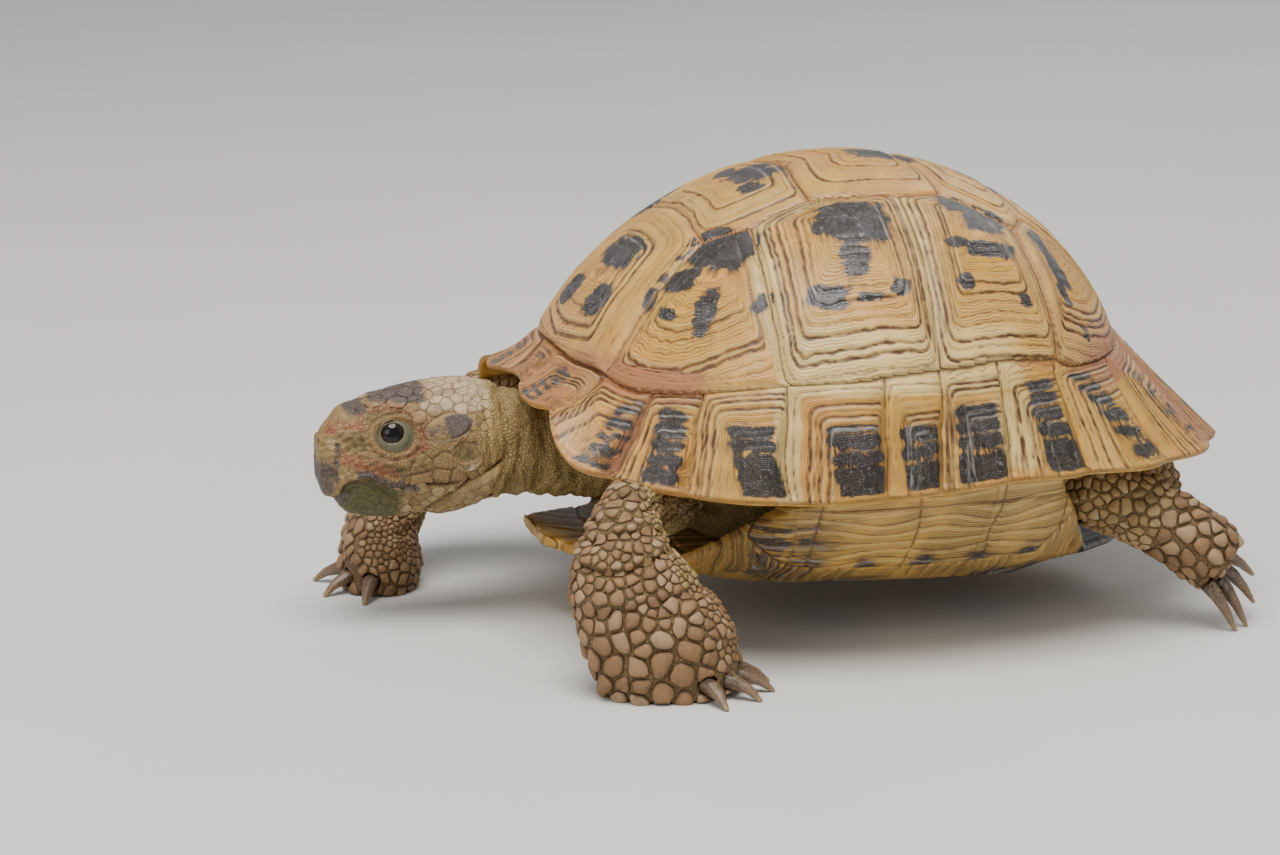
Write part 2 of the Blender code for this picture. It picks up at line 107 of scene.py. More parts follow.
class SkinSettings(bpy.types.PropertyGroup):
    seed: IntProperty(name="Seed", description="Variation of the scales", default=5)
    voxel: length_property("Voxel", "Grain of the skin's mesh", 0.5)
    depth: length_property("Coat depth", "How far the skin lies inside the solids", 0.35)
    tan: colour_property("Tan", "Main colour of the skin", (0.30, 0.19, 0.070))
    yellow: colour_property("Yellow", "Soft skin in the folds", (0.37, 0.25, 0.085))
    # Crease: painted shade in the skin's creases, pits and folds and at the scales' edges, and also
    # the darker random tones of the skin.
    crease: colour_property("Crease", "Dark creases between scales", (0.050, 0.025, 0.010))
    scale: colour_property("Scale", "Large scales of the legs", (0.275, 0.150, 0.062))
    pale: colour_property("Pale", "Cream scales of the head", (0.60, 0.48, 0.30))
    rose: colour_property("Rose", "Pink tint round eye and nostril", (0.28, 0.096, 0.042))
    slate: colour_property("Slate", "Grey-purple patches of the head", (0.086, 0.063, 0.054))
    olive: colour_property("Olive", "Greenish horn of the jaws", (0.082, 0.072, 0.020))
    lid: colour_property("Lid", "Greyish green lids", (0.108, 0.114, 0.068))


class StageSettings(bpy.types.PropertyGroup):
    azimuth: angle_property("Azimuth", "Camera's turn from the side", -15)
    elevation: angle_property("Elevation", "Camera's height angle", 13)
    lens: FloatProperty(
        name="Lens", description="Focal length in mm", default=95, subtype="DISTANCE_CAMERA"
    )
    distance: length_property("Distance", "From the shell's middle to the camera", 694)
    floor: colour_property("Floor", "Colour of the floor", (0.66, 0.65, 0.62))


# ------------ small tools


def smooth(value, low, high):
    """0 below low, 1 above high, and smooth between them."""
    value = np.clip((value - low) / (high - low), 0, 1)
    return value * value * (3 - 2 * value)


def bell(value, width):
    return np.exp(-((value / width) ** 2))


def band(value, low, high, soft):
    return smooth(value, low - soft, low + soft) * (1 - smooth(value, high - soft, high + soft))


def strongest(*masks):
    return reduce(np.maximum, masks)


def unit(vectors):
    """Rows of a length of one."""
    return vectors / (np.linalg.norm(vectors, axis=-1, keepdims=True) + 1e-6)


def ripple(points, wavelength, seed, waves=10):
    """A smooth random field from about -1 to 1. points and wavelength share one unit."""
    rng = np.random.default_rng(seed)
    ways = rng.normal(size=(waves, 3))
    ways /= np.linalg.norm(ways, axis=1)[:, None]
    ways *= (2 * np.pi / wavelength) * rng.uniform(0.6, 1.6, (waves, 1))
    starts = rng.uniform(0, 2 * np.pi, waves)
    return np.sin(points @ ways.T + starts).sum(1) / math.sqrt(waves) * 0.8


def spline(values, place):
    """A smooth curve through evenly numbered values, read at an array of places."""
    values = np.asarray(values, float)
    last = len(values) - 1
    index = np.clip(place.astype(int), 0, last - 1)
    local = place - index
    before, start = values[np.maximum(index - 1, 0)], values[index]
    end, after = values[index + 1], values[np.minimum(index + 2, last)]
    return 0.5 * (
        2 * start
        + (end - before) * local
        + (2 * before - 5 * start + 4 * end - after) * local**2
        + (3 * start - before - 3 * end + after) * local**3
    )


def dress_mesh(name, mesh, look):
    """An object at the origin that rides on the body, with one material."""
    mesh.materials.clear()
    mesh.materials.append(look)
    mesh.shade_smooth()
    obj = bpy.data.objects.new(name, mesh)
    bpy.context.scene.collection.objects.link(obj)
    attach(obj, "root")
    return obj


def new_object(name, points, faces, look):
    mesh = bpy.data.meshes.new(name)
    mesh.from_pydata(np.asarray(points, float).tolist(), [], faces)
    return dress_mesh(name, mesh, look)


def mesh_from(name, shape):
    """A new mesh with the content of a bmesh, which is freed."""
    mesh = bpy.data.meshes.new(name)
    shape.to_mesh(mesh)
    shape.free()
    return mesh


def read_rows(collection, field):
    rows = np.empty(len(collection) * 3, np.float32)
    collection.foreach_get(field, rows)
    return rows.reshape(-1, 3).astype(float)


def mesh_points(mesh):
    return read_rows(mesh.vertices, "co")


def mesh_normals(mesh):
    return read_rows(mesh.vertex_normals, "vector")


def set_points(mesh, points):
    mesh.vertices.foreach_set("co", points.astype(np.float32).ravel())
    mesh.update()


KEPT_KINDS = {1: ("FLOAT", "value"), 3: ("FLOAT_VECTOR", "vector"), 4: ("FLOAT_COLOR", "color")}


def store(mesh, **facts):
    """Keeps one number, or a row of three or four numbers, at each vertex by each name."""
    for name, values in facts.items():
        values = np.asarray(values, np.float32)
        kind, field = KEPT_KINDS[1 if values.ndim == 1 else values.shape[1]]
        mesh.attributes.new(name, kind, "POINT").data.foreach_set(field, values.ravel())


def outward(mesh):
    """Turns all faces of closed meshes outward."""
    shape = bmesh.new()
    shape.from_mesh(mesh)
    bmesh.ops.recalc_face_normals(shape, faces=shape.faces)
    shape.to_mesh(mesh)
    shape.free()
    mesh.update()


def node_shape(shape, name, swell):
    """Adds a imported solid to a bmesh, welded, and swollen by a little."""
    part = bmesh.new()
    part.from_mesh(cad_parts[name].data)
    bmesh.ops.remove_doubles(part, verts=part.verts, dist=1e-6)
    bmesh.ops.recalc_face_normals(part, faces=part.faces)
    part.normal_update()
    for vert in part.verts:
        vert.co += vert.normal * swell
    mesh = mesh_from(name + "_swollen", part)
    shape.from_mesh(mesh)
    bpy.data.meshes.remove(mesh)


def remeshed(names, voxel, swell, rounds):
    """One even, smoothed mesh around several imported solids."""
    shape = bmesh.new()
    for name in names:
        node_shape(shape, name, swell)
    obj = bpy.data.objects.new("blank", mesh_from("blank", shape))
    bpy.context.scene.collection.objects.link(obj)
    melt = obj.modifiers.new("melt", "REMESH")
    melt.mode, melt.voxel_size = "VOXEL", voxel
    soften = obj.modifiers.new("soften", "SMOOTH")
    soften.factor, soften.iterations = 0.5, rounds
    graph = bpy.context.evaluated_depsgraph_get()
    mesh = bpy.data.meshes.new_from_object(obj.evaluated_get(graph))
    bpy.data.objects.remove(obj)
    return mesh


# ------------ materials

HORN_COLOURS = ("Horn", "Ochre", "Cream", "Rose", "Line", "Blotch", "Scratch")
# The colours of the hide beside its base, and the settings that give them.
HIDE_COLOURS = {
    "Soft": "yellow", "Crease": "crease", "Pale": "pale", "Rose": "rose", "Slate": "slate",
    "Olive": "olive", "Lid": "lid",
}
SURFACE = (("Color", "Color"), ("Roughness", "Float"), ("Height", "Float"))


def rgba(colour):
    return (*colour, 1.0)


class Wires:
    """Adds shader nodes to one tree. A socket among the values is linked, anything else is set."""

    def __init__(self, tree):
        self.tree = tree

    def give(self, sockets, values):
        for key, value in values.items():
            if isinstance(value, bpy.types.NodeSocket):
                self.tree.links.new(value, sockets[key])
            else:
                sockets[key].default_value = value

    def add(self, kind, inputs, **settings):
        """Returns the new node's outputs."""
        node = self.tree.nodes.new("ShaderNode" + kind)
        for key, value in settings.items():
            setattr(node, key, value)
        self.give(node.inputs, inputs)
        return node.outputs

    def maths(self, operation, *values, clamp=False):
        inputs = dict(enumerate(values))
        return self.add("Math", inputs, operation=operation, use_clamp=clamp)[0]

    def plus(self, *values):
        return reduce(lambda first, second: self.maths("ADD", first, second), values)

    def times(self, first, second):
        return self.maths("MULTIPLY", first, second)

    def less(self, first, second, clamp=False):
        return self.maths("SUBTRACT", first, second, clamp=clamp)

    def ramp(self, value, low, high, top=1.0):
        """0 below low and top above high, smoothly."""
        inputs = {"Value": value, "From Min": low, "From Max": high, "To Max": top}
        return self.add("MapRange", inputs, interpolation_type="SMOOTHSTEP")[0]

    def shaken(self, mask, noise, amount):
        """A mask raised and lowered by a noise around the noise's middle."""
        return self.plus(mask, self.times(self.less(noise, 0.5), amount))

    def layered(self, base, *layers):
        """Lays colours over the base one after the other, each by its own share."""
        for share, colour in layers:
            base = self.add("Mix", {0: share, 6: base, 7: colour}, data_type="RGBA")[2]
        return base

    def speckle(self, vector, scale, detail=3.0, roughness=0.6, distortion=0.0):
        return self.add("TexNoise", {
            "Vector": vector, "Scale": scale, "Detail": detail, "Roughness": roughness,
            "Distortion": distortion,
        })[0]

    def kept(self, name, output="Fac"):
        """What the mesh keeps at its vertices under this name."""
        return self.add("Attribute", {}, attribute_name=name)[output]

    def kept_vector(self, name):
        return self.add("SeparateXYZ", {"Vector": self.kept(name, "Vector")})

    def kept_colour(self, name):
        return self.add("SeparateColor", {"Color": self.kept(name, "Color")})

    def place(self):
        return self.add("TexCoord", {})["Object"]


def new_group(name, inputs, outputs):
    """A named node group with its sockets. Returns its wires and its two ends."""
    tree = bpy.data.node_groups.new(name, "ShaderNodeTree")
    for socket, kind, default in inputs:
        tree.interface.new_socket(
            name=socket, in_out="INPUT", socket_type="NodeSocket" + kind
        ).default_value = default
    for socket, kind in outputs:
        tree.interface.new_socket(name=socket, in_out="OUTPUT", socket_type="NodeSocket" + kind)
    given = tree.nodes.new("NodeGroupInput").outputs
    return Wires(tree), given, tree.nodes.new("NodeGroupOutput").inputs


@cache
def grain_group():
    """Fine worn grain, as a height."""
    wires, given, result = new_group(
        "worn_grain", (("Scale", "Float", 900.0), ("Contrast", "Float", 1.0)), (("Height", "Float"),)
    )
    place = wires.place()
    fine = wires.speckle(place, given["Scale"], 4.0, 0.65)
    broad = wires.speckle(place, wires.times(given["Scale"], 0.22), 3.0, 0.5)
    height = wires.plus(wires.times(fine, 0.45), broad)
    wires.give(result, {"Height": wires.times(height, given["Contrast"])})
    return wires.tree


@cache
def horn_group():
    """Growth lines, blotches, scratches and seams of a scute, from what its vertices keep."""
    colours = [(name, "Color", (0.5, 0.4, 0.2, 1)) for name in HORN_COLOURS]
    wires, given, result = new_group("scute_horn", colours, SURFACE)
    ramp, times, plus, speckle = wires.ramp, wires.times, wires.plus, wires.speckle
    place = wires.place()
    ring, seam, tone = wires.kept_vector("scute")
    dark, cream, rose = wires.kept_colour("marks")
    lip, streak = wires.kept("lip"), wires.kept("streak", "Vector")
    along_rings = wires.add("VectorMath", {0: streak, 1: (0.9, 0.9, 16.0)}, operation="MULTIPLY")[0]
    cloud = speckle(place, 55.0)
    mottle = speckle(place, 260.0, 4.0, 0.62, 0.6)
    fibre = speckle(streak, 5.5, 4.0, 0.62, 0.25)
    layer = speckle(along_rings, 1.5, 4.0, 0.62, 0.3)

    # Fine growth lines follow the rings and waver a little.
    wave = wires.maths("SINE", times(plus(ring, times(mottle, 0.045)), 310.0))
    gate = ramp(speckle(streak, 2.2, 2.0, 0.55), 0.32, 0.60)
    dark_line = times(ramp(wave, 0.25, 0.95), gate)
    pale_line = times(ramp(wave, -0.5, -0.95), gate)
    broken = plus(0.55, ramp(mottle, 0.35, 0.6, 0.45))
    base = wires.layered(
        given["Horn"],
        (ramp(cloud, 0.38, 0.66), given["Ochre"]),
        (ramp(tone, 0.1, 1.2, 0.5), given["Cream"]),
        (ramp(plus(rose, times(mottle, 0.35)), 0.3, 1.05), given["Rose"]),
        (ramp(plus(cream, times(fibre, 0.5)), 0.45, 1.1), given["Cream"]),
        (times(pale_line, 0.35), given["Cream"]),
        (times(dark_line, 0.50), given["Line"]),
        (ramp(lip, 0.3, 0.8, 0.38), given["Cream"]),
        (times(ramp(wires.kept("groove"), 0.16, 0.62), broken), given["Line"]),
    )

    edge = dark
    for noise, amount in ((fibre, 0.35), (layer, 0.95), (mottle, 0.5)):
        edge = wires.shaken(edge, noise, amount)
    blot = ramp(edge, 0.34, 0.60, 0.96)
    smear = times(ramp(edge, 0.05, 0.42), ramp(layer, 0.36, 0.60, 0.62))
    worn = ramp(speckle(streak, 17.0, 3.0, 0.7, 0.5), 0.46, 0.64, 0.9)
    ridge = times(ramp(lip, 0.35, 0.9), ramp(layer, 0.40, 0.62, 0.75))
    scratch = wires.maths("MAXIMUM", times(ramp(wave, 0.55, 0.98), worn), ridge)
    chip = ramp(speckle(place, 900.0, 3.0, 0.75), 0.60, 0.72, 0.55)
    # Painted shade: blotches low on the rim, where the marginals face down, go darker still.
    low_rim_shade = ramp(wires.add("SeparateXYZ", {"Vector": place})[2], 0.054, 0.036, 0.9)
    slate = wires.layered(
        given["Blotch"],
        (ramp(mottle, 0.35, 0.7, 0.85), (0.048, 0.050, 0.060, 1)),
        (low_rim_shade, given["Blotch"]),
        (wires.maths("MAXIMUM", scratch, chip), given["Scratch"]),
    )
    seam_line = wires.less(1.0, ramp(seam, 0.05, 0.42))
    base = wires.layered(
        base, (smear, given["Line"]), (blot, slate), (times(seam_line, 0.8), given["Line"])
    )

    rough = plus(0.34, times(cloud, 0.16), times(chip, 0.3))
    fine = wires.add("Group", {"Scale": 1500.0, "Contrast": 0.05}, node_tree=grain_group())[0]
    height = plus(wires.less(fine, times(dark_line, 0.09)), times(fibre, 0.10), times(chip, 0.04))
    wires.give(result, {
        "Color": base, "Roughness": wires.less(rough, times(blot, 0.07), clamp=True),
        "Height": height,
    })
    return wires.tree


@cache
def hide_group():
    """Colours of the hide by its marks, for the skin and for the scales on it, with painted shade by
    depth.
    """
    colours = [(name, "Color", (0.4, 0.3, 0.2, 1)) for name in ("Base", *HIDE_COLOURS)]
    wires, given, result = new_group(
        "hide_tones", [*colours, ("Depth", "Float", 0.0), ("Tone", "Float", 0.5)], SURFACE
    )
    ramp, times = wires.ramp, wires.times
    place = wires.place()
    slate, rose, pale = wires.kept_colour("marks")
    olive, soft, wet = wires.kept_colour("tints")
    cloud = wires.speckle(place, 120.0)
    mottle = wires.speckle(place, 620.0, 4.0, 0.65)
    fine = wires.speckle(place, 2400.0)
    strands = wires.speckle(place, 850.0, 4.0, 0.7, 1.8)

    def edged(mask, noise, amount=0.6):
        return ramp(wires.shaken(mask, noise, amount), 0.22, 0.8)

    threads = ramp(wires.shaken(rose, strands, 3.2), 0.35, 1.0)
    base = wires.layered(
        given["Base"],
        (edged(soft, cloud), given["Soft"]),
        (ramp(given["Tone"], 0.45, 1.0, 0.26), given["Pale"]),
        (ramp(given["Tone"], 0.45, 0.0, 0.35), given["Crease"]),
        (edged(pale, cloud), given["Pale"]),
        (edged(olive, mottle, 0.5), given["Olive"]),
        (times(ramp(rose, 0.1, 0.3), threads), given["Rose"]),
        (times(rose, ramp(strands, 0.47, 0.33, 0.55)), given["Pale"]),
        (edged(slate, mottle, 1.3), given["Slate"]),
        (times(slate, ramp(strands, 0.50, 0.75, 0.30)), given["Pale"]),
        (ramp(mottle, 0.50, 0.74, 0.45), given["Crease"]),
        (ramp(fine, 0.55, 0.8, 0.3), given["Pale"]),
        (ramp(wet, 0.2, 0.8, 0.9), given["Lid"]),
        # Painted shade: Depth darkens the hide towards the crease colour.
        (ramp(given["Depth"], 0.15, 1.0, 0.85), given["Crease"]),
    )
    rough = wires.plus(0.46, times(mottle, 0.26))
    wires.give(result, {
        "Color": base, "Roughness": wires.less(rough, times(wet, 0.36), clamp=True),
        "Height": wires.plus(times(mottle, 0.5), times(fine, 0.28)),
    })
    return wires.tree


class Finish(Wires):
    """A new material, with its constants on the shader's own sockets."""

    def __init__(self, name, **fixed):
        self.material = bpy.data.materials.new(name)
        self.material.use_nodes = True
        super().__init__(self.material.node_tree)
        self.shader = self.tree.nodes["Principled BSDF"].inputs
        self.give(self.shader, {"Metallic": 0.0})
        self.give(self.shader, {key.replace("_", " "): value for key, value in fixed.items()})

    def done(self, colour, roughness, height, distance):
        bump = self.add("Bump", {"Height": height, "Strength": 1.0, "Distance": distance})[0]
        self.give(self.shader, {"Base Color": colour, "Roughness": roughness, "Normal": bump})
        return self.material


def horn_material(name, settings, main):
    """Horn of the scutes, in the settings' colours but for the main one."""
    finish = Finish(name, IOR=1.5)
    colours = {key: rgba(getattr(settings, key.lower())) for key in HORN_COLOURS}
    horn = finish.add("Group", {**colours, "Horn": rgba(main)}, node_tree=horn_group())
    return finish.done(horn["Color"], horn["Roughness"], horn["Height"], 0.0009)


def hide_tones(finish, settings, base, inputs):
    colours = {name: rgba(getattr(settings, key)) for name, key in HIDE_COLOURS.items()}
    return finish.add("Group", {"Base": rgba(base), **colours, **inputs}, node_tree=hide_group())


def hide_material(settings):
    """Bare skin: pebbly grains between folds, with painted shade in the gaps between the grains."""
    finish = Finish("hide", IOR=1.45)
    # The kept crease mask is painted shade in the skin's creases, pits and folds.
    tones = hide_tones(finish, settings, settings.tan, {"Depth": finish.kept("crease")})
    pebble = finish.add(
        "TexVoronoi", {"Vector": finish.place(), "Scale": 1500.0, "Randomness": 0.9},
        feature="DISTANCE_TO_EDGE",
    )["Distance"]
    smoothness = finish.kept("smooth_skin")
    grain = finish.times(finish.ramp(pebble, 0.0, 0.28), finish.less(1.0, smoothness))
    strength = finish.less(0.55, finish.times(smoothness, 0.55))
    # Painted shade in the gaps between the grains, weaker on smooth skin.
    gap = finish.times(finish.less(1.0, finish.ramp(pebble, 0.0, 0.16)), strength)
    colour = finish.layered(tones["Color"], (gap, rgba(settings.crease)))
    height = finish.plus(grain, finish.times(tones["Height"], 0.5))
    return finish.done(colour, tones["Roughness"], height, 0.00022)


def scale_material(name, settings, base):
    """Horny scales: their own tone, thin growth rings, and dark rims, partly painted shade where each
    scale dips into the gap beside it.
    """
    finish = Finish(name, IOR=1.48)
    ring, tone, span = finish.kept_vector("scale_ring")
    # Partly painted shade: each scale darkens towards its rim.
    rim = finish.times(finish.ramp(ring, 0.80, 1.0), 0.9)
    tones = hide_tones(finish, settings, base, {"Depth": rim, "Tone": tone})
    rings = finish.maths("SINE", finish.times(finish.times(ring, span), 9.0))
    height = finish.plus(tones["Height"], finish.times(rings, 0.10))
    return finish.done(tones["Color"], tones["Roughness"], height, 0.00020)


def claw_material():
    """Worn horn, darker at the root, pale at the tip, with lengthwise streaks."""
    finish = Finish("claw_horn", IOR=1.52)
    along = finish.kept("along")
    streaks = finish.speckle(finish.place(), 800.0, 4.0, 0.6, 1.5)
    colour = finish.layered(
        (0.040, 0.027, 0.018, 1),
        (finish.ramp(along, 0.05, 0.75), (0.17, 0.105, 0.058, 1)),
        (finish.ramp(streaks, 0.40, 0.70, 0.7), (0.27, 0.18, 0.105, 1)),
        (finish.ramp(along, 0.80, 1.0, 0.6), (0.42, 0.29, 0.15, 1)),
    )
    fine = finish.add("Group", {"Scale": 2600.0, "Contrast": 0.6}, node_tree=grain_group())[0]
    rough = finish.plus(0.30, finish.times(streaks, 0.2))
    return finish.done(colour, rough, fine, 0.00012)


def eye_material():
    """A dark brown iris that fades into a black pupil, under a wet surface."""
    finish = Finish(
        "wet_eye", IOR=1.4, Specular_IOR_Level=0.1, Coat_Weight=1.0, Coat_IOR=1.37,
        Coat_Roughness=0.02,
    )
    gaze = finish.kept("gaze")
    rays = finish.speckle(finish.place(), 1800.0)
    iris = finish.layered(
        (0.010, 0.006, 0.003, 1), (finish.ramp(rays, 0.35, 0.7), (0.030, 0.017, 0.008, 1))
    )
    colour = finish.layered(
        (0.002, 0.002, 0.002, 1),
        (finish.ramp(gaze, 0.34, 0.42), iris),
        (finish.ramp(gaze, 0.80, 0.95), (0.05, 0.045, 0.035, 1)),
    )
    return finish.done(colour, finish.plus(0.06, finish.times(rays, 0.05)), rays, 0.00001)


def floor_material(settings):
    finish = Finish("studio_floor")
    dust = finish.speckle(finish.place(), 6.0, 4.0)
    light = [min(1.0, shade * 1.04) for shade in settings.floor]
    colour = finish.layered(rgba(settings.floor), (finish.ramp(dust, 0.3, 0.7), rgba(light)))
    return finish.done(colour, finish.plus(0.75, finish.times(dust, 0.12)), dust, 0.0005)


# ------------ the shell's surface

SHELL_HEIGHT = 56.3 * MM
RIM_PLAN = (75 * MM, 64 * MM, 76.5 * MM)  # front, side, rear
DOME_PLAN = (67 * MM, 61.5 * MM, 57 * MM)
DOME_FULLNESS = (1.8, 2.15, 2.1)
MARGINAL_TOP = (19 * MM, 21 * MM, 25 * MM)
MARGINAL_BULGE = (0.45, 0.45, 0.05)
PLAN_FULLNESS = 2.2
RIM_THICKNESS = 1.6 * MM
RIM_RISE = (
    11.6, 11.2, 9.9, 9.5, 1.8, 0.0, -0.9, -1.2, -1.2, -0.9, -0.3, 0.6, 1.5,
    2.6, 3.4, 3.6, 3.6, 3.4, 3.2, 3.1, 3.0, 2.6, 2.0, 1.2, 0.5,
)
RIM_STEP = 7.5
MARGINAL_SEAMS = (-4.5, 4.5, 20.5, 34.5, 47.5, 63.5, 80, 89.5, 102, 117.5, 136, 154, 171, 189)
SEAM_REACH = (-5.8, -5.8, -2.4, -0.4, -0.6, -0.5, -0.4, -0.4, -0.6, -0.8, -1.0, -1.0, -0.8, -0.8)
SCUTE_BOWS = (-0.5, 1.8, 4.3, 1.3, 1.0, 0.8, 0.7, 0.9, 1.4, 1.7, 1.8, 1.5, 1.0)
# The marginals between these degrees bow out further back.
REAR_SCUTES = (89, 170)
REAR_LEAN = 1.5
DIRECTION_STEP = 6.2
BASE_RISE = 5 * MM
POCKET_DEPTHS = (17.5 * MM, 10.5 * MM, 17.5 * MM)
RIM_HEIGHT = 35 * MM
NOSE_UP = math.radians(2.5)
CARRIED = Matrix.Translation((0, 0, RIM_HEIGHT)) @ Matrix.Rotation(NOSE_UP, 4, "Y")


def blended(values, direction):
    front, side, rear = values
    along = np.cos(direction)
    return side + (np.where(along > 0, front, rear) - side) * along**2


def plan_radius(plan, direction):
    front, side, rear = plan
    along, across = np.cos(direction), np.sin(direction)
    length = np.where(along > 0, front, rear)
    reach = (np.abs(along) / length) ** PLAN_FULLNESS + (np.abs(across) / side) ** PLAN_FULLNESS
    return reach ** (-1 / PLAN_FULLNESS)


def folded(direction):
    """Degrees from the front, the same on both sides."""
    turn = np.degrees(direction) % 360
    return np.minimum(turn, 360 - turn)


def rim_height(direction):
    return spline(RIM_RISE, folded(direction) / RIM_STEP) * MM


def rim_radius(direction):
    """Each marginal scute bows out between its two seams, further back on the rear ones."""
    turn = folded(direction)
    seams, reach = np.array(MARGINAL_SEAMS), np.array(SEAM_REACH)
    scute = np.searchsorted(seams, turn, side="right") - 1
    start, end = seams[scute], seams[scute + 1]
    across = (turn - start) / (end - start)
    lean = np.where((start > REAR_SCUTES[0]) & (start < REAR_SCUTES[1]), REAR_LEAN, 1)
    bow = np.array(SCUTE_BOWS)[scute] * np.sin(np.pi * across**lean)
    out = reach[scute] * (1 - across) + reach[scute + 1] * across + bow
    return plan_radius(RIM_PLAN, direction) + out * MM


def meridian(direction, share):
    """Radius and height: share 0 is the top, 1 the top of the marginals, 2 the rim."""
    radius = plan_radius(DOME_PLAN, direction)
    power = 2 / blended(DOME_FULLNESS, direction)
    seam = blended(MARGINAL_TOP, direction)
    last = np.arccos((seam / SHELL_HEIGHT) ** (1 / power))

    def dome(angle):
        return np.array([radius * np.sin(angle) ** power, SHELL_HEIGHT * np.cos(angle) ** power])

    start, end = dome(last), np.array([rim_radius(direction), rim_height(direction)])
    lead = start - dome(last - 0.01)
    lead *= np.hypot(*(end - start)) / np.hypot(*lead) * blended(MARGINAL_BULGE, direction)
    t = np.clip(share - 1, 0, 1)
    flare = start * (1 - t) ** 2 + (start + lead) * 2 * t * (1 - t) + end * t**2
    return np.where(share <= 1, dome(last * np.minimum(share, 1)), flare)


def round_shell(direction, radius, height):
    """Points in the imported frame, before the shift that centres the animal."""
    points = np.stack([-radius * np.cos(direction), -radius * np.sin(direction), height], -1)
    turn = np.array(CARRIED.to_3x3())
    return points @ turn.T + np.array(CARRIED.translation)


def solid_directions():
    """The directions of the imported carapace's own corners."""
    turns = []
    for start, end in zip(MARGINAL_SEAMS, MARGINAL_SEAMS[1:]):
        steps = max(2, math.ceil((end - start) / DIRECTION_STEP))
        turns += [start + (end - start) * k / steps for k in range(steps + 1)]
    return np.radians(np.concatenate([turns, -np.array(turns)]))


def shell_shift():
    """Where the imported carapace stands, against the shell's own frame."""
    corners = solid_directions()
    own = round_shell(corners, *meridian(corners, np.full(len(corners), 2.0)))
    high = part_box("carapace")[1]
    return np.array([high.x - own[:, 0].max(), high.y - own[:, 1].max(), 0.0])


SHIFT = shell_shift()


def shell_point(direction, share):
    return round_shell(direction, *meridian(direction, share)) + SHIFT


# ------------ scutes of the carapace

# Where the marginals begin, as a share of the way down, by degrees from the front.
MARGIN_TURNS = (0, 25, 34, 46, 61.5, 75, 89.5, 102.5, 116.5, 130, 142, 160, 180)
MARGIN_SHARES = (1.10, 1.16, 1.22, 1.16, 1.04, 0.99, 0.96, 0.94, 0.96, 1.06, 1.12, 1.10, 1.08)
# Degrees of each marginal seam at its upper end.
SEAM_TOPS = (-5, 5, 25, 36.5, 46, 61, 79, 89.5, 102.5, 116, 135, 153, 171, 189)

# Each scute's areola, where it began to grow, and its corners on the left side, from the front by
# the outside to the rear, in degrees from the front and shares of the way down.
VERTEBRALS = (
    ((0, 0.76), (0, 1.2), (25, 1.18), (29, 0.6)),
    ((0, 0.36), (29, 0.6), (40.5, 0.52), (54, 0.38)),
    ((180, 0.02), (54, 0.38), (91, 0.34), (111, 0.34)),
    ((180, 0.3), (111, 0.34), (127.5, 0.54), (140.5, 0.52)),
    ((180, 0.62), (140.5, 0.52), (157, 1.16), (180, 1.16)),
)
COSTALS = (
    ((38, 0.66), (25, 1.18), (29, 0.6), (40.5, 0.52), (62, 1.06), (46, 1.2), (34, 1.25)),
    ((70, 0.46), (40.5, 0.52), (54, 0.38), (91, 0.34), (90, 1.0), (75, 1.03), (62, 1.06)),
    ((112, 0.48), (91, 0.34), (111, 0.34), (127.5, 0.54), (117, 1.02), (103, 1.0), (90, 1.0)),
    ((136, 0.66), (127.5, 0.54), (140.5, 0.52), (157, 1.16), (142, 1.16), (130, 1.12), (117, 1.02)),
)
# Dark blotches: degrees, share, half length along the shell and half height in mm, and tilt.
BLOTCHES = (
    (0, 0.70, 8.5, 4.2, 0), (9, 0.85, 4.4, 3.6, 0), (0, 0.30, 7.0, 5.6, 0), (21, 0.37, 3.4, 2.2, 0),
    (180, 0.07, 6.0, 6.5, 0), (172, 0.41, 4.4, 6.0, 0), (168, 0.62, 4.5, 5.0, 0),
    (36.5, 0.61, 8.3, 5.6, 0), (31.5, 0.735, 4.6, 2.8, 18), (42, 0.82, 2.4, 5.0, 12),
    (27, 0.81, 1.5, 3.0, 28), (33.5, 0.84, 2.2, 1.2, 0), (53, 0.78, 1.6, 2.8, -25),
    (71, 0.465, 7.6, 6.4, -8), (72.5, 0.62, 2.7, 4.4, -3), (67, 0.755, 4.2, 2.6, 4),
    (83, 0.71, 1.9, 2.0, -10), (76, 0.75, 3.2, 1.1, 0),
    (112.5, 0.40, 3.8, 3.0, -30), (118, 0.48, 5.0, 4.6, -34), (111.5, 0.60, 6.0, 2.1, -10),
    (101.5, 0.56, 2.4, 1.4, 0), (99.5, 0.70, 2.0, 1.9, 12), (113.5, 0.78, 1.2, 1.5, 0),
    (134, 0.62, 1.8, 5.0, -18), (131.5, 0.72, 2.2, 4.0, -14), (128, 0.80, 1.4, 2.8, 0),
    (129.5, 0.93, 1.1, 2.0, 0),
)
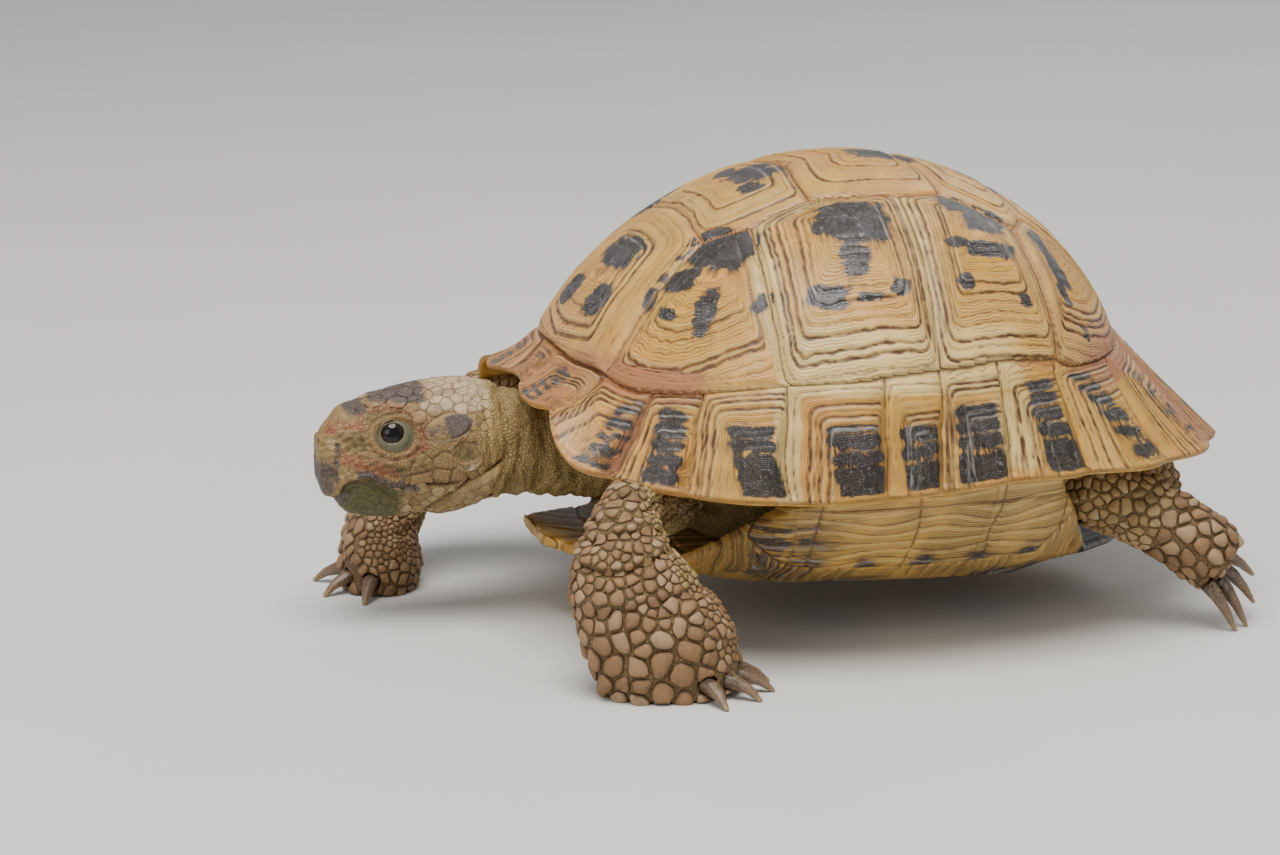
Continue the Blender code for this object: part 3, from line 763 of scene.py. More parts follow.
# Dark column of each marginal: front and rear edge at its top, and at the rim, as shares of the
# scute's width, where it starts and the solid block begins, as shares of its height, and how
# strong it is.
COLUMNS = {
    0: (0.2, 0.8, 0.2, 0.8, 0.3, 0.9, 0.35),
    1: (0.35, 0.62, 0.30, 0.72, 0.15, 1.3, 0.62),
    2: (0.60, 0.98, 0.60, 0.98, 0.12, 1.3, 0.72),
    3: (0.34, 0.84, 0.42, 0.90, 0.16, 1.2, 1.0),
    4: (0.16, 0.80, 0.56, 0.98, 0.34, 0.72, 1.0),
    5: (0.18, 0.92, 0.52, 0.98, 0.38, 0.74, 1.0),
    6: (0.12, 0.90, 0.34, 0.96, 0.40, 0.76, 1.0),
    7: (0.14, 0.80, 0.24, 0.95, 0.26, 0.76, 1.0),
    8: (0.32, 0.80, 0.46, 0.98, 0.10, 0.74, 1.0),
    9: (0.08, 0.46, 0.60, 0.98, 0.08, 1.2, 0.8),
    10: (0.20, 0.50, 0.55, 0.90, 0.25, 1.4, 0.55),
    11: (0.30, 0.60, 0.45, 0.80, 0.30, 1.4, 0.5),
    12: (0.30, 0.70, 0.30, 0.70, 0.30, 1.4, 0.5),
}
RINGS = {"vertebral": 9, "costal": 15, "marginal": 13}
SCUTE_SQUARENESS = 14  # how sharp the corners of the growth rings are
SEAM_LIMIT = 10 * MM  # a longer way to the next seam counts as this one
MEAN_RADIUS = 0.070  # of the rim, in metres
BLOTCH_REACH = 2.2  # how far a blotch spreads, in its own half sizes
BLOTCH_FULLNESS = 3.2  # 2 makes an oval, more makes it squarer


def chart(turn, share):
    """A flat map of the dome: forward and outward, from degrees and shares."""
    turn = np.radians(turn)
    return np.stack([share * np.cos(turn), share * np.sin(turn)], -1)


def gauge(point, corners, areola):
    """How far each point is from the areola to each edge, one column for each edge."""
    corners = np.array(corners)
    middle = corners.mean(0)
    columns = []
    for start, end in zip(corners, np.roll(corners, -1, axis=0)):
        normal = np.array([end[1] - start[1], start[0] - end[0]])
        if normal @ (start - middle) < 0:
            normal = -normal
        columns.append((point - areola) @ normal / (normal @ (start - areola)))
    return np.stack(columns, -1)


def reach_to_edges(areola_at, corners_at):
    """Distance in metres from the areola to each edge, along the shell."""
    starts, ends = np.array(corners_at), np.roll(np.array(corners_at), -1, axis=0)
    lines = ends - starts
    along = ((areola_at - starts) * lines).sum(1) / (lines * lines).sum(1)
    foot = starts + lines * np.clip(along, 0, 1)[:, None]
    return np.linalg.norm(foot - areola_at, axis=1)


def outline(corners, mirrored):
    """A scute's corners. Those of a vertebral scute go on round its right half."""
    if mirrored:
        corners += tuple((-turn, share) for turn, share in reversed(corners) if turn not in (0, 180))
    return corners


def dome_scutes():
    """Number, outline, areola and whether it spans the midline: vertebrals first, then costals."""
    for number, (areola, *corners) in enumerate(VERTEBRALS + COSTALS, 1):
        mirrored = number <= len(VERTEBRALS)
        yield number, outline(tuple(corners), mirrored), areola, mirrored


def nearest_scute(place):
    """The number of the dome's scute at each point of the chart's left half."""
    best, found = np.full(len(place), np.inf), np.zeros(len(place), int)
    for number, corners, _, _ in dome_scutes():
        flat = [chart(*corner) for corner in corners]
        level = gauge(place, flat, np.mean(flat, 0)).max(1)
        found = np.where(level < best, number, found)
        best = np.minimum(best, level)
    return found


class Scutes:
    """What every point of the shell knows about the scute that it lies on."""

    def __init__(self, count):
        self.ring, self.tone, self.pitch, self.groove, self.lip, self.lift = np.zeros((6, count))
        self.waver = np.zeros(count)
        self.seam = np.full(count, SEAM_LIMIT)
        self.streak = np.zeros((count, 3))

    def fill(self, where, edges, lengths, way, rings, rng):
        """edges: gauge columns. lengths: metres to each edge. way: unit heading in the scute."""
        weights = np.clip(edges, 0, None) ** SCUTE_SQUARENESS
        total = weights.sum(1) + 1e-12
        ring = total ** (1 / SCUTE_SQUARENESS) + self.waver[where]
        pitch = (weights * lengths).sum(1) / total / rings
        self.ring[where] = np.clip(ring, 0, 1.02)
        self.seam[where] = np.clip(((1 - edges) * lengths).min(1), 0, SEAM_LIMIT)
        shades = rng.uniform(0, 1, rings + 4)
        shade = np.interp(ring * rings, np.arange(rings + 4) + 0.5, shades)
        self.tone[where] = 0.3 * rng.uniform() + 0.7 * shade * smooth(ring, 0.35, 0.7)
        self.pitch[where] = pitch
        heading = np.stack([way[:, 0] * 1.6, way[:, 1] * 1.6, ring * 1.1], -1)
        self.streak[where] = heading + rng.uniform(-40, 40, 3)
        self.relief(where, ring, rings, pitch, rng)

    def relief(self, where, ring, rings, pitch, rng):
        """Growth ledges: a furrow at each ring, deepest near the edge, with a roll inside it."""
        number = np.arange(rings + 2)
        growing = smooth(number / rings, 0.15, 0.55)
        strengths = rng.uniform(0.32, 0.68, rings + 2) * (0.42 + 0.58 * growing)
        deep = rng.permutation(rings)[: rings // 2]
        strengths[deep] = 0.30 + 0.70 * growing[deep]
        strengths[:2] = 0.05
        starts = number + rng.uniform(-0.24, 0.24, rings + 2)
        phase = ring * rings
        furrow, lip = np.zeros((2, len(ring)))
        for start, strength in zip(starts[1:rings], strengths[1:rings]):
            away = (phase - start) * pitch / MM
            crease = 0.65 * np.exp(-np.abs(away) / 0.16) + 0.35 * bell(away, 0.75)
            furrow = np.maximum(furrow, strength * crease)
            lip = np.maximum(lip, strength * bell(away + 0.62, 0.40))
        crowded = smooth(pitch / MM, 0.25, 1.0)
        self.groove[where] = furrow * (0.35 + 0.65 * crowded)
        self.lip[where] = lip * (0.4 + 0.6 * crowded)
        self.lift[where] = (0.35 * lip - furrow) * (0.25 + 0.75 * crowded)


def fill_dome(facts, place, nearest, rng):
    """The vertebral and costal scutes, from the places on the chart's left half."""
    side, on_rim = facts.side, facts.on_rim
    for scute, corners, areola_turn, mirrored in dome_scutes():
        areola = chart(*areola_turn)
        flat = [chart(*corner) for corner in corners]
        at = [shell_point(np.radians(t), np.array(s)) for t, s in (areola_turn, *corners)]
        lengths = reach_to_edges(at[0], at[1:])
        rings = RINGS["vertebral" if mirrored else "costal"]
        for half in (1.0,) if mirrored else (1.0, -1.0):
            where = np.flatnonzero((nearest == scute) & ~on_rim & ((side == half) | mirrored))
            own = place[where]
            if mirrored:
                own = own * np.stack([np.ones(len(where)), side[where]], -1)
            way = unit(own - areola)
            facts.fill(where, gauge(own, flat, areola), lengths, way, rings, rng)


def fill_margin(facts, rng):
    """The marginal scutes, from the places across and down each of them."""
    side = facts.side
    last = len(SCUTE_BOWS) - 1
    for scute in range(last + 1):
        single = scute in (0, last)
        u0, v0 = (0.5 if single else 0.84), 0.86
        seams = MARGINAL_SEAMS[scute : scute + 2]
        middle = math.radians(sum(seams) / 2)
        width = MEAN_RADIUS * math.radians(seams[1] - seams[0])
        top, foot = (shell_point(middle, np.array(share)) for share in (1.05, 2.0))
        tall = float(np.linalg.norm(top - foot))
        lengths = np.array([u0 * width, (1 - u0) * width, v0 * tall, (1 - v0) * tall * 3.3])
        for half in (1.0,) if single else (1.0, -1.0):
            own = facts.on_rim & (facts.number == scute)
            where = np.flatnonzero(own & ((side == half) | single))
            u, v = facts.across[where], facts.down[where]
            u = 0.5 + (u - 0.5) * side[where] if single else u
            edges = np.stack([
                (u0 - u) / u0, (u - u0) / (1 - u0), (v0 - v) / v0, (v - v0) / (1 - v0) * 0.3
            ], -1)
            way = unit(np.stack([(u - u0) * width, (v - v0) * tall], -1))
            facts.fill(where, edges, lengths, way, RINGS["marginal"], rng)


def scute_facts(direction, share, points, seed):
    """Fills in the scutes for points of the shell, given in radians and shares."""
    rng = np.random.default_rng(seed)
    facts = Scutes(len(points))

    def wave(wavelength, number):
        return ripple(points, wavelength, seed + number)

    signed = (np.degrees(direction) + 180) % 360 - 180
    wobble = wave(0.016, 0) * 0.35 + wave(0.005, 1) * 0.16
    weave = wave(0.013, 2) * 0.35 + wave(0.004, 3) * 0.2
    facts.waver = wave(0.009, 4) * 0.007 + wave(0.0028, 6) * 0.0045
    share = share + weave * 0.006
    facts.side = np.where(signed < 0, -1.0, 1.0)
    turn = np.abs(signed) + wobble * 0.9 * np.minimum(1, share)
    turn = np.clip(np.abs(turn), 0, 180)
    top = np.interp(turn, MARGIN_TURNS, MARGIN_SHARES)
    facts.turn, facts.share, facts.on_rim = turn, share, share > top
    place = chart(turn, share)
    nearest = nearest_scute(place)
    facts.scute = np.where(facts.on_rim, 0, nearest)
    fill_dome(facts, place, nearest, rng)

    down = np.clip((share - top) / (2 - top), 0, 1)
    seams = np.array(SEAM_TOPS)[:, None] * (1 - down) + np.array(MARGINAL_SEAMS)[:, None] * down
    number = np.clip((turn >= seams).sum(0) - 1, 0, len(SEAM_TOPS) - 2)
    column = np.arange(len(turn))
    front, rear = seams[number, column], seams[number + 1, column]
    facts.across, facts.down, facts.number = (turn - front) / (rear - front), down, number
    fill_margin(facts, rng)
    return facts


def shell_heading(turn, share):
    """A place of the shell, with the directions along the shell and down it."""
    centre = shell_point(np.radians(turn), np.array(share))
    below = shell_point(np.radians(turn), np.array(share + 0.02)) - centre
    down = below / np.linalg.norm(below)
    along = np.cross(down, centre - np.array([SHIFT[0], SHIFT[1], 0.02]))
    return centre, along / np.linalg.norm(along), down


def darken_blotches(mask, points, rng):
    for turn, share, half_length, half_height, tilt in BLOTCHES:
        central = turn in (0, 180)
        reach = BLOTCH_REACH * max(half_length, half_height) * MM
        lean = math.radians(tilt)
        for half in (1,) if central else (1, -1):
            sway = rng.normal(size=2) * (1.2, 0.015) if half < 0 else (0, 0)
            centre, along, down = shell_heading(turn * half + sway[0], share + sway[1])
            along *= 1 if central else -half
            near = np.flatnonzero(((points - centre) ** 2).sum(1) < reach**2)
            away = points[near] - centre
            x, y = away @ along, away @ down
            x, y = x * math.cos(lean) - y * math.sin(lean), x * math.sin(lean) + y * math.cos(lean)
            wide, high = np.abs(x / (half_length * MM)), np.abs(y / (half_height * MM))
            gone = (wide**BLOTCH_FULLNESS + high**BLOTCH_FULLNESS) ** (1 / BLOTCH_FULLNESS)
            mask[near] = np.maximum(mask[near], 1 - smooth(gone, 0.55, 1.45))


def darken_columns(mask, facts, points, seed):
    for scute, column in COLUMNS.items():
        top_front, top_rear, low_front, low_rear, begins, block, strength = column
        where = np.flatnonzero(facts.on_rim & (facts.number == scute))
        u, v = facts.across[where], facts.down[where]
        front = top_front + (low_front - top_front) * v
        rear = top_rear + (low_rear - top_rear) * v
        inside = smooth(u, front - 0.09, front + 0.09) * (1 - smooth(u, rear - 0.07, rear + 0.07))
        inside *= smooth(v, begins - 0.06, begins + 0.08) * (1 - smooth(v, 0.955, 0.99))
        sway = ripple(points[where], 0.006, seed + scute) * 0.9
        bars = 0.84 + 0.24 * np.sin(v * 2 * np.pi * 6.5 + scute + sway)
        solid = smooth(v, block - 0.03, block + 0.03)
        mask[where] = np.maximum(mask[where], inside * strength * np.maximum(bars * 0.88, solid))


def blotch_mask(facts, points, seed):
    """0 to 1: how dark each point is, before the fine streaks of the material."""
    mask = np.zeros(len(points))
    darken_blotches(mask, points, np.random.default_rng(seed))
    frayed = 0.20 * ripple(points, 0.0042, seed + 40) + 0.13 * ripple(points, 0.0018, seed + 41)
    frayed -= 0.45 * facts.lip * smooth(facts.ring, 0.40, 0.75)
    mask = np.where(mask > 0, np.clip(mask + frayed, 0, 1), 0)
    darken_columns(mask, facts, points, seed)
    return mask * (facts.seam > 0.4 * MM)


def horn_tints(facts):
    """Cream beside some seams, and pinkish brown horn at the front, rear and lower rings."""
    turn, share, seam = facts.turn, facts.share, facts.seam / MM
    first, second, third = (facts.scute == number for number in (6, 7, 8))
    vertebral = (facts.scute < 4) * (facts.scute > 0)

    def beside(inner, outer):
        return 1 - smooth(seam, inner, outer)

    cream = strongest(
        beside(2.6, 4.4) * second * band(turn, 36, 66, 3) * band(share, 0.40, 1.05, 0.04),
        0.8 * beside(1.4, 2.8) * first * band(turn, 44, 64, 3),
        beside(1.4, 2.8) * (second | third) * band(turn, 86, 96, 3),
        beside(1.8, 3.4) * facts.on_rim * band(turn, 58, 68, 2),
        0.8 * band(turn, 60, 108, 6) * band(share, 0.84, 1.14, 0.04),
        0.8 * band(turn, 99, 108, 2) * band(share, 1.15, 1.95, 0.1),
        0.35 * vertebral * smooth(share, 0.2, 0.4),
    )
    rose = strongest(
        0.95 * band(turn, 12, 47, 5) * band(share, 0.98, 1.30, 0.05),
        beside(1.2, 2.6) * band(turn, 31, 39, 3) * (share > 1.1),
        0.9 * smooth(turn, 108, 135) * band(share, 0.94, 1.40, 0.08),
        0.85 * smooth(turn, 138, 156) * smooth(share, 0.9, 1.1),
        0.65 * (1 - smooth(turn, 18, 30)) * smooth(share, 0.7, 1.2),
        0.5 * bell(seam, 1.3) * (share < 1.0),
    )
    return cream, rose


def grid_faces(rows, columns):
    """Quads of a grid that closes round its columns."""
    index = np.arange(rows * columns).reshape(rows, columns)
    after = np.roll(index, -1, axis=1)
    return np.stack([index[:-1], after[:-1], after[1:], index[1:]], -1).reshape(-1, 4).tolist()


DIRECTIONS = 840
DOME_RINGS, MARGINAL_RINGS = 165, 74
UNDERSIDE_STEPS = (1, 3, 10, 4, 4)
INSET = 0.12 * MM  # how far horn and the head's skin lie inside the solids


def carapace_grid():
    """Directions, shares and places of the outer grid, and the shell's outward normals there."""
    around = np.linspace(0, 2 * np.pi, DIRECTIONS, endpoint=False)
    direction = np.tile(around, (DOME_RINGS + MARGINAL_RINGS, 1))
    dome = np.linspace(0.012, 1, DOME_RINGS) ** 0.92
    shares = np.concatenate([dome, 1 + np.linspace(0, 1, MARGINAL_RINGS + 1)[1:]])
    share = np.repeat(shares[:, None], DIRECTIONS, axis=1)
    grid = shell_point(direction, share)
    sideways = np.roll(grid, -1, axis=1) - np.roll(grid, 1, axis=1)
    normal = np.cross(np.gradient(grid, axis=0), sideways)
    normal /= np.linalg.norm(normal, axis=2)[:, :, None] + 1e-15
    if normal[:, :, 2].mean() < 0:
        normal = -normal
    return direction, share, grid, normal


def carved(points, normal, share, facts, settings):
    """The outer points with ledges, seams and a faint unevenness cut into them."""
    depth = facts.lift * settings.ledge * np.clip(facts.pitch / (1.6 * MM), 0.35, 1.15)
    puff = 0.35 + 0.75 * facts.on_rim * (1 - smooth(facts.turn, 36, 60))
    depth -= settings.seam * bell(facts.seam, 0.45 * MM) + puff * MM * bell(facts.seam, 1.9 * MM)
    depth += ripple(points, 0.009, settings.seed + 5) * 0.05 * MM
    depth -= INSET
    # The rim stays as thick as the solid's.
    depth *= 1 - 0.75 * smooth(share, 1.94, 2.0)
    return points + normal * np.minimum(depth, 0.0)[:, None]


def underside_rings(turn):
    """Rings from the rim over its underside and up the wall into the hollow."""
    rim, rise = rim_radius(turn), rim_height(turn)
    wall = plan_radius(RIM_PLAN, turn) - blended(POCKET_DEPTHS, turn)
    stations = (
        (rim - 0.15 * MM, rise - RIM_THICKNESS * 0.45),
        (rim - 0.6 * MM, rise - RIM_THICKNESS * 0.7),
        (rim - 2.6 * MM, rise - 0.3 * MM),
        (wall + 4 * MM, np.maximum(rise, 0) + BASE_RISE / 2),
        (wall, np.maximum(rise, 0) + BASE_RISE),
        (wall * 0.6, np.full(DIRECTIONS, BASE_RISE * 1.6)),
    )
    rings = [round_shell(turn, *stations[0])]
    for near, far, count in zip(stations, stations[1:], UNDERSIDE_STEPS):
        for k in range(1, count + 1):
            radius, height = (a + (b - a) * (k / count) for a, b in zip(near, far))
            rings.append(round_shell(turn, radius, height))
    return np.stack(rings) + SHIFT


def make_carapace(settings):
    direction, share, grid, normal = carapace_grid()
    outside, share = grid.reshape(-1, 3), share.ravel()
    facts = scute_facts(direction.ravel(), share, outside, settings.seed)
    points = carved(outside, normal.reshape(-1, 3), share, facts, settings)
    count = len(points)
    body = np.concatenate([points, underside_rings(direction[0]).reshape(-1, 3)])
    crown = shell_point(np.array(0.0), np.array(0.0)) - np.array([0, 0, INSET])
    hollow = body[-DIRECTIONS:].mean(0)
    crown_at, last_row = len(body), len(body) - DIRECTIONS
    faces = grid_faces(len(body) // DIRECTIONS, DIRECTIONS)
    pairs = [(k, (k + 1) % DIRECTIONS) for k in range(DIRECTIONS)]
    faces += [(here, crown_at, after) for here, after in pairs]
    faces += [(last_row + here, last_row + after, crown_at + 1) for here, after in pairs]
    body = np.concatenate([body, [crown, hollow]])
    look = horn_material("carapace_horn", settings, settings.horn)
    shell = new_object("carapace_scutes", body, faces, look)
    outward(shell.data)

    # What the outside knows, and then what all that lies beneath it gets.
    missing = len(body) - count
    dark = blotch_mask(facts, outside, settings.seed)
    marks = np.stack([dark, *horn_tints(facts), np.ones(count)], -1)
    scute = np.stack([facts.ring, facts.seam / MM, facts.tone], -1)
    store(
        shell.data,
        marks=np.concatenate([marks, np.tile([0, 0.1, 0.1, 1], (missing, 1))]),
        scute=np.concatenate([scute, np.tile([0.5, 5, 0.2], (missing, 1))]),
        groove=np.concatenate([facts.groove, np.zeros(missing)]),
        lip=np.concatenate([facts.lip, np.zeros(missing)]),
        streak=np.concatenate([facts.streak, body[count:] * 80]),
    )
    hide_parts("carapace")


# ------------ plastron

# Where each pair of scutes ends and where the bridges' seams are, along X from the shell's
# middle, and how far out the bridges begin.
PLASTRON_SEAMS = (-64, -51, -37, -26, 12, 37, 62)
BRIDGE_SEAMS = (-22, -3, 14, 30)
BRIDGE_LINE = 46.0


def plastron_scutes(points, seed):
    """Where each point lies on the plastron, its distance to a seam and its growth ring."""
    own = (points - np.array([SHIFT[0], SHIFT[1], RIM_HEIGHT])) / MM
    x = own[:, 0] + ripple(points, 0.014, seed) * 0.6
    y = own[:, 1] + ripple(points, 0.018, seed + 1) * 0.5
    side, height = np.abs(y), own[:, 2]
    on_bridge = side > BRIDGE_LINE
    edges = np.array(PLASTRON_SEAMS)
    number = np.clip(np.searchsorted(edges, x) - 1, 0, len(edges) - 2)
    front, rear = edges[number], edges[number + 1]
    seam = np.minimum(np.minimum(x - front, rear - x), side)
    seam = np.where(on_bridge, np.abs(height + 3.5), seam)
    for place in BRIDGE_SEAMS:
        seam = np.where(on_bridge, np.minimum(seam, np.abs(x - place)), seam)
    seam = np.minimum(np.abs(seam), np.abs(side - BRIDGE_LINE))
    across = np.clip((x - front) / (rear - front), 0, 1)
    ring = np.maximum(np.abs(across - 0.5) * 1.6, 1 - side / 48)
    ring = np.where(on_bridge, np.clip((2.5 - height) / 24, 0, 1), np.clip(ring, 0, 1))
    central = bell(np.maximum(np.abs(across - 0.45) * (rear - front) - 5, 0), 4.0)
    return x, side, height, on_bridge, number, seam, ring, central


def plastron_dark(x, side, height, on_bridge, central):
    """Dark patches in the middle of the scutes, and bars on the bridges that darken towards their
    lower edge, partly painted shade.
    """
    dark = central * bell(np.maximum(np.abs(side - 24) - 9, 0), 6.0)
    dark *= ~on_bridge * smooth(x, -30, -20)
    # Partly painted shade: the bridges darken towards their lower edge, broken into bars.
    low = smooth(-height, 11.5, 19) * on_bridge
    front = 0.45 * bell(np.maximum(np.abs(x + 27) - 4, 0), 5.0) * smooth(-height, 3.5, 8)
    bridge = np.maximum(front, low * (0.45 + 0.4 * np.sin(x * 0.55 + 1.0)))
    return np.maximum(dark * 0.8, bridge * (side > 36))


def make_plastron(shell):
    mesh = remeshed(["plastron"], 0.5 * MM, 0.10 * MM, 5)
    points, normals = mesh_points(mesh), mesh_normals(mesh)
    seed = shell.seed + 40
    x, side, height, on_bridge, number, seam, ring, central = plastron_scutes(points, seed)
    phase = ring * 9 + ripple(points, 0.02, seed + 2) * 0.4
    phase -= np.round(phase)
    furrow = 0.6 * bell(phase, 0.09) * smooth(ring, 0.06, 0.2)
    depth = -0.14 * MM * furrow - 0.45 * MM * bell(seam, 0.45)
    set_points(mesh, points + normals * (depth - INSET)[:, None])

    dark = plastron_dark(x, side, height, on_bridge, central)
    plain = np.ones(len(points))
    store(
        mesh,
        marks=np.stack([dark, 0.15 * plain, 0.2 * bell(seam, 1.5), plain], -1),
        scute=np.stack([ring, np.clip(seam, 0, 10), 0.2 + 0.1 * number], -1),
        groove=furrow,
        lip=bell(phase - 0.3, 0.2),
        streak=np.stack([np.cos(x * 0.09), np.sin(x * 0.09), ring * 1.1 + number * 9], -1),
    )
    look = horn_material("plastron_horn", shell, shell.under)
    plate = dress_mesh("plastron_scutes", mesh, look)
    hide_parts("plastron")


# ------------ skin

HEAD_PARTS = ("head", "lower_jaw")
FLESH = (
    *HEAD_PARTS, "neck", "trunk", "tail",
    *(f"{part}_{leg}" for leg in LEGS for part in ("leg", "foot")),
)
SKIN_SWELL = 0.34 * MM  # the solids grow by this much before they melt into one skin
# Where the measures of the head start: inside the nose, and above the floor.
SNOUT_INSET, SNOUT_HEIGHT = 1.2 * MM, 0.034
EYE_BACK, EYE_OUT, EYE_UP, EYE_RADIUS = 13.0, 5.4, 5.6, 3.8  # from the snout, in mm
LID_AXIS = (-0.16, 0.94, 0.30)  # where the eye looks: back, out, up
# Lines of the face seen from the side: back from the snout and up, in mm.
MOUTH_LINE = (
    (-1.6, -7.2), (0.6, -6.9), (2.1, -6.1), (3.0, -4.4), (4.2, -3.4), (6.0, -2.9), (8.2, -2.8),
    (10.8, -3.9), (13.5, -4.9), (16.2, -4.4), (18.3, -3.8), (22.8, -4.0), (26.0, -3.4),
)
FOLD_LINE = ((19.7, -9.8), (21.2, -8.2), (23.9, -6.0), (27.2, -3.2), (31.1, -1.2), (34.0, 0.4))
LIP_BAND = ((6.4, -1.5), (9.0, -2.2), (12.4, -3.7), (17.1, -4.5))
LIP_EDGE = ((2.6, 0.8), (3.2, -0.8), (4.5, -2.2), (6.5, -2.3), (8.6, -2.3))
NOSE_SEAM = ((2.0, 4.0), (1.9, 0.5), (1.6, -3.0))
BROW_LINE = ((7.0, 10.3), (11.2, 11.8), (15.6, 10.8), (18.2, 8.4), (18.6, 4.8), (15.8, 2.4))
SNOUT_LINE = ((0.3, 6.7), (3.2, 7.8), (6.7, 7.9))
CHEEK_LINE = ((3.0, 1.4), (5.0, 1.2), (8.1, -0.3), (11.8, -1.6))
CHEEK_RIDGE = ((9.0, 1.6), (13.0, 0.6), (17.5, 1.4), (20.0, 4.0))
TEMPLE_EDGE = ((19.6, 5.0), (22.5, 4.9), (26.0, 6.2), (28.4, 8.8))
# How high the top of the temple is, by mm back from the snout.
TEMPLE_TOP = ((17.0, 19.0, 23.0, 28.0, 31.0), (9.6, 9.8, 10.8, 10.2, 8.0))
# Two ovals: middle, half sizes and lean in degrees.
TEMPLE = ((23.6, 7.7), (5.0, 2.5), 14)
EAR = ((26.7, 2.3), (2.5, 3.0), 10)
# The middles of the plates of the beak's front and of the large plates of the cheek.
BEAK_PLATES = ((0.6, -0.4), (2.4, 1.6), (3.0, -1.4), (0.8, -3.2), (3.4, -4.2))
CHEEK_PLATES = (
    (17.7, 0.3), (22.3, 0.9), (21.9, -2.2), (18.4, -2.9), (20.3, 3.9), (13.2, -1.6), (25.2, -2.6),
    (14.6, 1.4), (28.2, -1.6), (24.0, 4.4),
)
# Back from the snout, depth and half width.
NECK_FOLDS = ((33.6, 1.0, 0.9), (37.0, 0.5, 0.8), (41.5, 0.8, 1.1), (46.0, 0.5, 0.9), (50.0, 0.7, 1.2))


def snout():
    """The place just inside the nose that every measure of the head starts from."""
    low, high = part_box("head")
    return np.array([low.x + SNOUT_INSET, (low.y + high.y) / 2, SNOUT_HEIGHT])


def head_place(points):
    """Back from the snout, out from the middle and up, in mm, and the side (-1 left, 1 right)."""
    own = (points - snout()) / MM
    side = np.where(own[:, 1] < 0, -1.0, 1.0)
    return own[:, 0], np.abs(own[:, 1]), own[:, 2], side


def line_distance(first, second, line):
    """Distance to a bent line, and how far above it the point lies, both in mm."""
    best = np.full(len(first), np.inf)
    above = np.zeros(len(first))
    for (a0, b0), (a1, b1) in zip(line, line[1:]):
        length = math.hypot(a1 - a0, b1 - b0)
        ux, uy = (a1 - a0) / length, (b1 - b0) / length
        along = np.clip((first - a0) * ux + (second - b0) * uy, 0, length)
        gap_x, gap_y = first - a0 - along * ux, second - b0 - along * uy
        away = np.hypot(gap_x, gap_y)
        closer = away < best
        above = np.where(closer, np.sign(gap_y * ux - gap_x * uy) * away, above)
        best = np.where(closer, away, best)
    return best, above


def oval(first, second, centre, size, lean=0.0):
    """0 in the middle of a leaning oval, 1 on its edge."""
    x, y = first - centre[0], second - centre[1]
    turn = math.radians(lean)
    x, y = x * math.cos(turn) + y * math.sin(turn), y * math.cos(turn) - x * math.sin(turn)
    return np.hypot(x / size[0], y / size[1])


def spot(first, second, centre, size, lean=0.0, soft=0.35):
    return 1 - smooth(oval(first, second, centre, size, lean), 1 - soft, 1 + soft)


def nearest_part(points):
    """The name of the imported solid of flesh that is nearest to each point."""
    vertices, faces, owners = [], [], []
    for name in FLESH:
        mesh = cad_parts[name].data
        start = len(vertices)
        vertices += [v.co[:] for v in mesh.vertices]
        for face in mesh.polygons:
            faces.append([start + v for v in face.vertices])
            owners.append(name)
    tree = BVHTree.FromPolygons(vertices, faces)
    return np.array([owners[tree.find_nearest(point)[2]] for point in points.tolist()])


def plate_gap(first, second, middles):
    """How far in mm each point is from the border between the two plates nearest to it."""
    places = np.array(middles)
    away = np.hypot(first[:, None] - places[:, 0], second[:, None] - places[:, 1])
    away.sort(axis=1)
    return (away[:, 1] - away[:, 0]) / 2


def eye_frame(half):
    """Middle of one eye, where it looks, and the two directions across its opening."""
    axis = np.array(LID_AXIS) / np.linalg.norm(LID_AXIS)
    forward = np.array([-axis[1], axis[0], 0]) / math.hypot(axis[0], axis[1])
    centre = snout() + np.array([EYE_BACK, half * EYE_OUT, EYE_UP]) * MM
    return centre, axis, forward, np.cross(axis, forward)


def lid_measures(points, half):
    """Places across and along one eye's gaze in mm: distance from its line of sight, height along
    it, direction round it, and the radii of the opening and of the lids' outer edge."""
    centre, axis, forward, upward = eye_frame(half)
    own = (points - centre) / MM * np.array([1, half, 1])
    x, y = own @ forward, own @ upward
    heading = np.arctan2(y, x)
    opening = 2.12 + 0.14 * np.cos(2 * (heading + 0.25))
    outer = 3.40 + 0.35 * np.cos(2 * heading) - 0.45 * np.cos(heading) - 0.62 * np.sin(heading)
    return np.hypot(x, y), own @ axis, heading, opening, outer


def ear_level(points, back, up):
    """0 in the middle of the ear disc, 1 on its edge, which is a little uneven."""
    return oval(back, up, *EAR) + 0.12 * ripple(points, 0.0025, 75)


